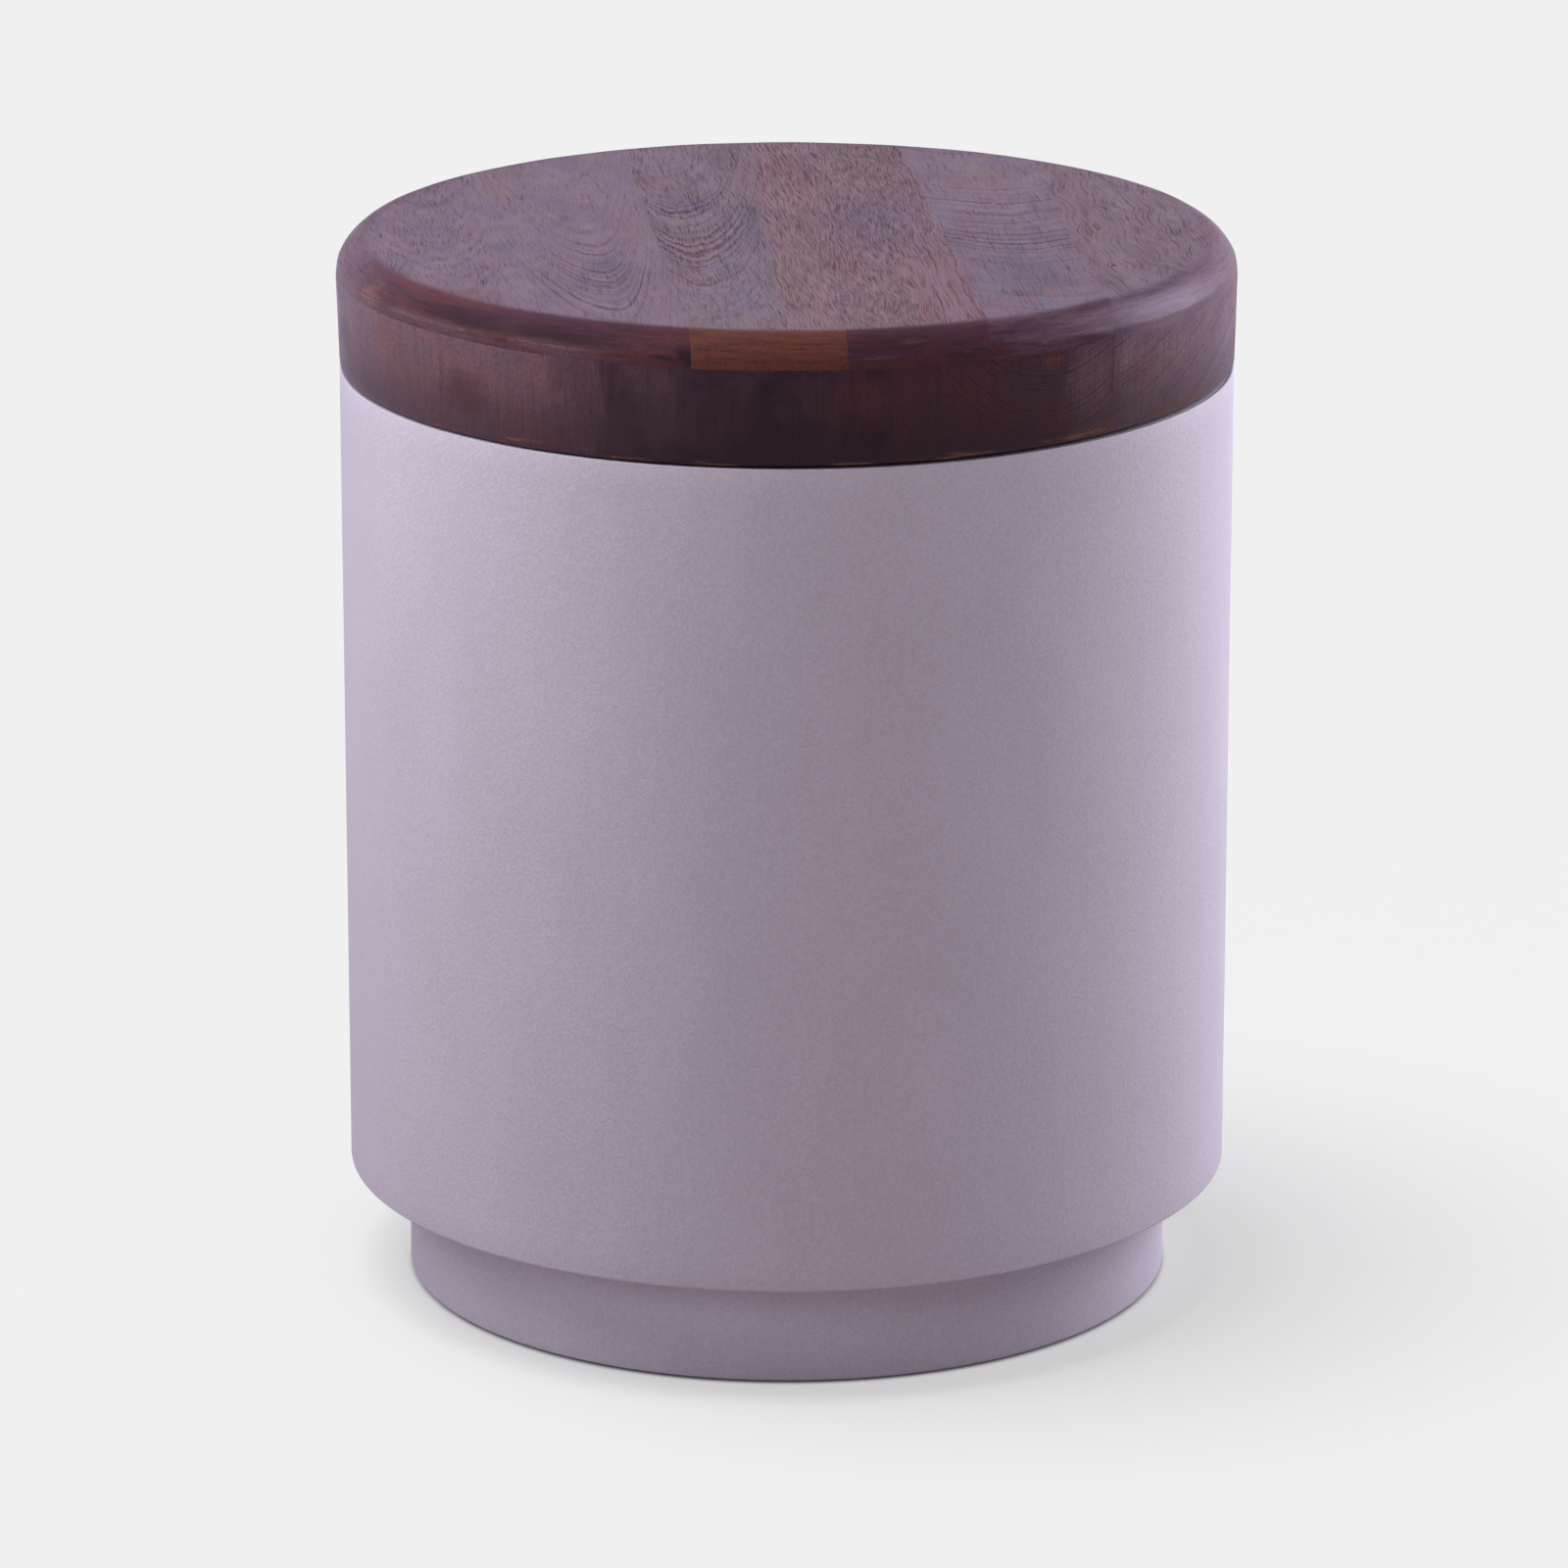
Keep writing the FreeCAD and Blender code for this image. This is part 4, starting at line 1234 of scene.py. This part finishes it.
def set_world(stage):
    """Even light from all round, white surroundings in view, and tinted ones in reflections."""
    world = bpy.data.worlds.new("studio")
    world.use_nodes = True
    bpy.context.scene.world = world
    graph = Graph(world.node_tree)
    even = world.node_tree.nodes["Background"]
    even.inputs["Color"].default_value = (1.0, 1.0, 1.0, 1.0)
    even.inputs["Strength"].default_value = stage.ambient
    direction = graph.node("TexCoord").outputs["Generated"]
    back = graph.step(graph.split(direction)[1], -0.4, 0.5)
    glow = graph.total(stage.front_reflection, back, 1.0 - stage.front_reflection)
    nearness = graph.node("VectorMath", {0: direction, 1: stage.highlight_place},
                          operation="DOT_PRODUCT").outputs["Value"]
    window = graph.step(nearness, 0.88, 0.99)
    glow = graph.total(glow, window, stage.highlight)
    mirrored = graph.node("Background", {"Color": opaque(stage.reflection), "Strength": glow})
    white = graph.node("Background", {"Color": opaque(stage.backdrop), "Strength": 1.0})
    path = graph.node("LightPath").outputs
    light = graph.node("MixShader", {0: path["Is Glossy Ray"], 1: even.outputs[0], 2: mirrored.outputs[0]})
    seen = graph.math("MAXIMUM", path["Is Camera Ray"], path["Is Transmission Ray"])
    choice = graph.node("MixShader", {0: seen, 1: light.outputs[0], 2: white.outputs[0]})
    graph.feed(world.node_tree.nodes["World Output"].inputs["Surface"], choice.outputs[0])


def stand_camera(scene, stage):
    """Stands the camera in front of the table, looking down at it."""
    stand = (stage.camera_side, -stage.camera_distance, stage.camera_height)
    bpy.ops.object.camera_add(location=stand, rotation=(math.pi / 2 - stage.camera_pitch, 0, 0))
    camera = bpy.context.active_object
    camera.data.lens = stage.camera_lens
    camera.data.sensor_width = SENSOR_WIDTH
    camera.data.dof.use_dof = False
    scene.camera = camera


# Operators

class DRUMTABLE_OT_stage(bpy.types.Operator):
    """Lay the floor, set the lights and stand the camera where the photograph was taken from"""
    bl_idname = "drum_table.stage"
    bl_label = "Stage"

    def execute(self, context):
        stage = context.scene.drum_table.stage
        floor = lay_floor(stage)
        set_world(stage)
        hang_key_light(stage)
        for name, stand in LAMPS.items():
            set_lamp(name, stand, stage, floor)
        stand_camera(context.scene, stage)
        context.scene.view_settings.view_transform = "Standard"
        return {"FINISHED"}


class DRUMTABLE_OT_upper_staves(bpy.types.Operator):
    """Saw the lid's upper layer into its staves and inset block"""
    bl_idname = "drum_table.upper_staves"
    bl_label = "Upper staves"

    def execute(self, context):
        settings = context.scene.drum_table
        layer = lid_blank(settings.lid)
        saw(layer, (0, 0, GLUE_LINE), (0, 0, -1))
        all_sides = stave_sides(UPPER_JOINT_SHARES)
        inset_sides = (INSET_BLOCK_SIDE_SHARE * LID_RADIUS, all_sides[INSET_BLOCK_STAVE - 1][1])
        inset_end = INSET_BLOCK_END_SHARE * LID_RADIUS
        for number, (sides, slot) in enumerate(zip(all_sides, UPPER_SLOTS), 1):
            stave = sawn_stave(layer, f"top_stave_{number}", sides)
            if number == INSET_BLOCK_STAVE:
                clear_inset(stave, inset_sides[0], inset_end)
            finish_stave(stave, f"upper_stave_{number}", slot, settings)
        block = sawn_stave(layer, "top_inset_block", inset_sides)
        saw(block, ALONG * inset_end, ALONG)
        finish_stave(block, "upper_inset_block", "stave_rosy", settings)
        discard(layer)
        return {"FINISHED"}


class DRUMTABLE_OT_lower_staves(bpy.types.Operator):
    """Saw the lid's lower layer into its staves"""
    bl_idname = "drum_table.lower_staves"
    bl_label = "Lower staves"

    def execute(self, context):
        settings = context.scene.drum_table
        layer = lid_blank(settings.lid)
        saw(layer, (0, 0, GLUE_LINE), (0, 0, 1))
        for number, sides in enumerate(stave_sides(LOWER_JOINT_SHARES), 1):
            stave = sawn_stave(layer, f"under_stave_{number}", sides)
            finish_stave(stave, f"lower_stave_{number}", "stave_lower", settings)
        discard(layer)
        return {"FINISHED"}


class DRUMTABLE_OT_battens(bpy.types.Operator):
    """Finish the battens and their screws under the lid"""
    bl_idname = "drum_table.battens"
    bl_label = "Battens and screws"

    def execute(self, context):
        dress_nodes(batten_material(context.scene.drum_table), "batten_front", "batten_rear")
        dress_nodes(zinc_material(), "batten_screws")
        return {"FINISHED"}


class DRUMTABLE_OT_rim_pads(bpy.types.Operator):
    """Cut the felt pads that the lid rests on"""
    bl_idname = "drum_table.rim_pads"
    bl_label = "Felt pads"

    def execute(self, context):
        lid = context.scene.drum_table.lid
        radius = lid.pad_diameter / 2
        middle = (PAD_HIGH.x - radius, 0, (PAD_LOW.z + PAD_HIGH.z) / 2)
        turn = 2 * math.pi / lid.pad_count
        bpy.ops.object.select_all(action="DESELECT")
        bpy.ops.mesh.primitive_cylinder_add(vertices=PAD_STEPS, radius=radius, depth=PAD_HIGH.z - PAD_LOW.z,
                                            location=middle)
        pads = context.active_object
        pads.name = "felt_pads"
        bpy.ops.object.transform_apply(location=True, rotation=True, scale=True)
        apply_modifier(pads, "BEVEL", width=lid.pad_edge, segments=PAD_EDGE_STEPS, limit_method="ANGLE")
        bpy.ops.object.mode_set(mode="EDIT")
        bpy.ops.mesh.select_all(action="SELECT")
        for _ in range(1, lid.pad_count):
            bpy.ops.mesh.duplicate()
            bpy.ops.transform.rotate(value=turn, orient_axis="Z", center_override=(0, 0, 0))
        bpy.ops.object.mode_set(mode="OBJECT")
        smooth(pads, PAD_SMOOTH_ANGLE)
        stand_in(pads, felt_material(), "lid", "rim_pads", "felt")
        return {"FINISHED"}


class DRUMTABLE_OT_drum(bpy.types.Operator):
    """Roll the drum's shell and finish its hoop and floor"""
    bl_idname = "drum_table.drum"
    bl_label = "Drum"

    def execute(self, context):
        settings = context.scene.drum_table
        paint = paint_material(settings)
        shell = sheet_ring("drum_side", DRUM_LOW, DRUM_HIGH, settings.drum.foot_edge, settings.drum)
        stand_in(shell, paint, "base", "drum_shell", "drum_paint")
        dress_nodes(paint, "rim_hoop", "drum_floor")
        return {"FINISHED"}


class DRUMTABLE_OT_plinth(bpy.types.Operator):
    """Roll the plinth's band and finish its rings, glides and fasteners"""
    bl_idname = "drum_table.plinth"
    bl_label = "Plinth"

    def execute(self, context):
        settings = context.scene.drum_table
        paint = paint_material(settings)
        band = sheet_ring("plinth_side", PLINTH_LOW, PLINTH_HIGH, settings.drum.edge, settings.drum)
        stand_in(band, paint, "base", "plinth_band", "drum_paint")
        light_alone("plinth_fill", band)
        dress_nodes(paint, "plinth_top_ring", "plinth_foot_ring")
        dress_nodes(zinc_material(), "plinth_bolts", "plinth_washers", "plinth_nuts")
        dress_nodes(glide_material(), "floor_glides")
        return {"FINISHED"}


STEPS = (
    DRUMTABLE_OT_stage,
    DRUMTABLE_OT_upper_staves,
    DRUMTABLE_OT_lower_staves,
    DRUMTABLE_OT_battens,
    DRUMTABLE_OT_rim_pads,
    DRUMTABLE_OT_drum,
    DRUMTABLE_OT_plinth,
)


class DRUMTABLE_PT_panel(bpy.types.Panel):
    """The table's settings and the operators that build it"""
    bl_label = "Drum side table"
    bl_space_type = "VIEW_3D"
    bl_region_type = "UI"
    bl_category = "Drum table"

    def draw(self, context):
        settings = context.scene.drum_table
        for title in ("lid", "drum", "wood", "paint", "stage"):
            box = self.layout.box()
            box.label(text=title.capitalize())
            group = getattr(settings, title)
            for name in group.bl_rna.properties.keys():
                if name not in ("rna_type", "name"):
                    box.prop(group, name)
        for step in STEPS:
            self.layout.operator(step.bl_idname)


SETTING_GROUPS = (LidSettings, DrumSettings, WoodSettings, PaintSettings, StageSettings, DrumTableSettings)
CLASSES = (*SETTING_GROUPS, *STEPS, DRUMTABLE_PT_panel)


def register():
    for kind in CLASSES:
        bpy.utils.register_class(kind)
    bpy.types.Scene.drum_table = PointerProperty(type=DrumTableSettings)


def unregister():
    del bpy.types.Scene.drum_table
    for kind in reversed(CLASSES):
        bpy.utils.unregister_class(kind)


def main():
    register()
    for step in STEPS:
        getattr(bpy.ops.drum_table, step.bl_idname.split(".")[1])()
    boxes = {"cad": CAD_BOX, "visual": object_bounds()}


if __name__ == "__main__":
    main()
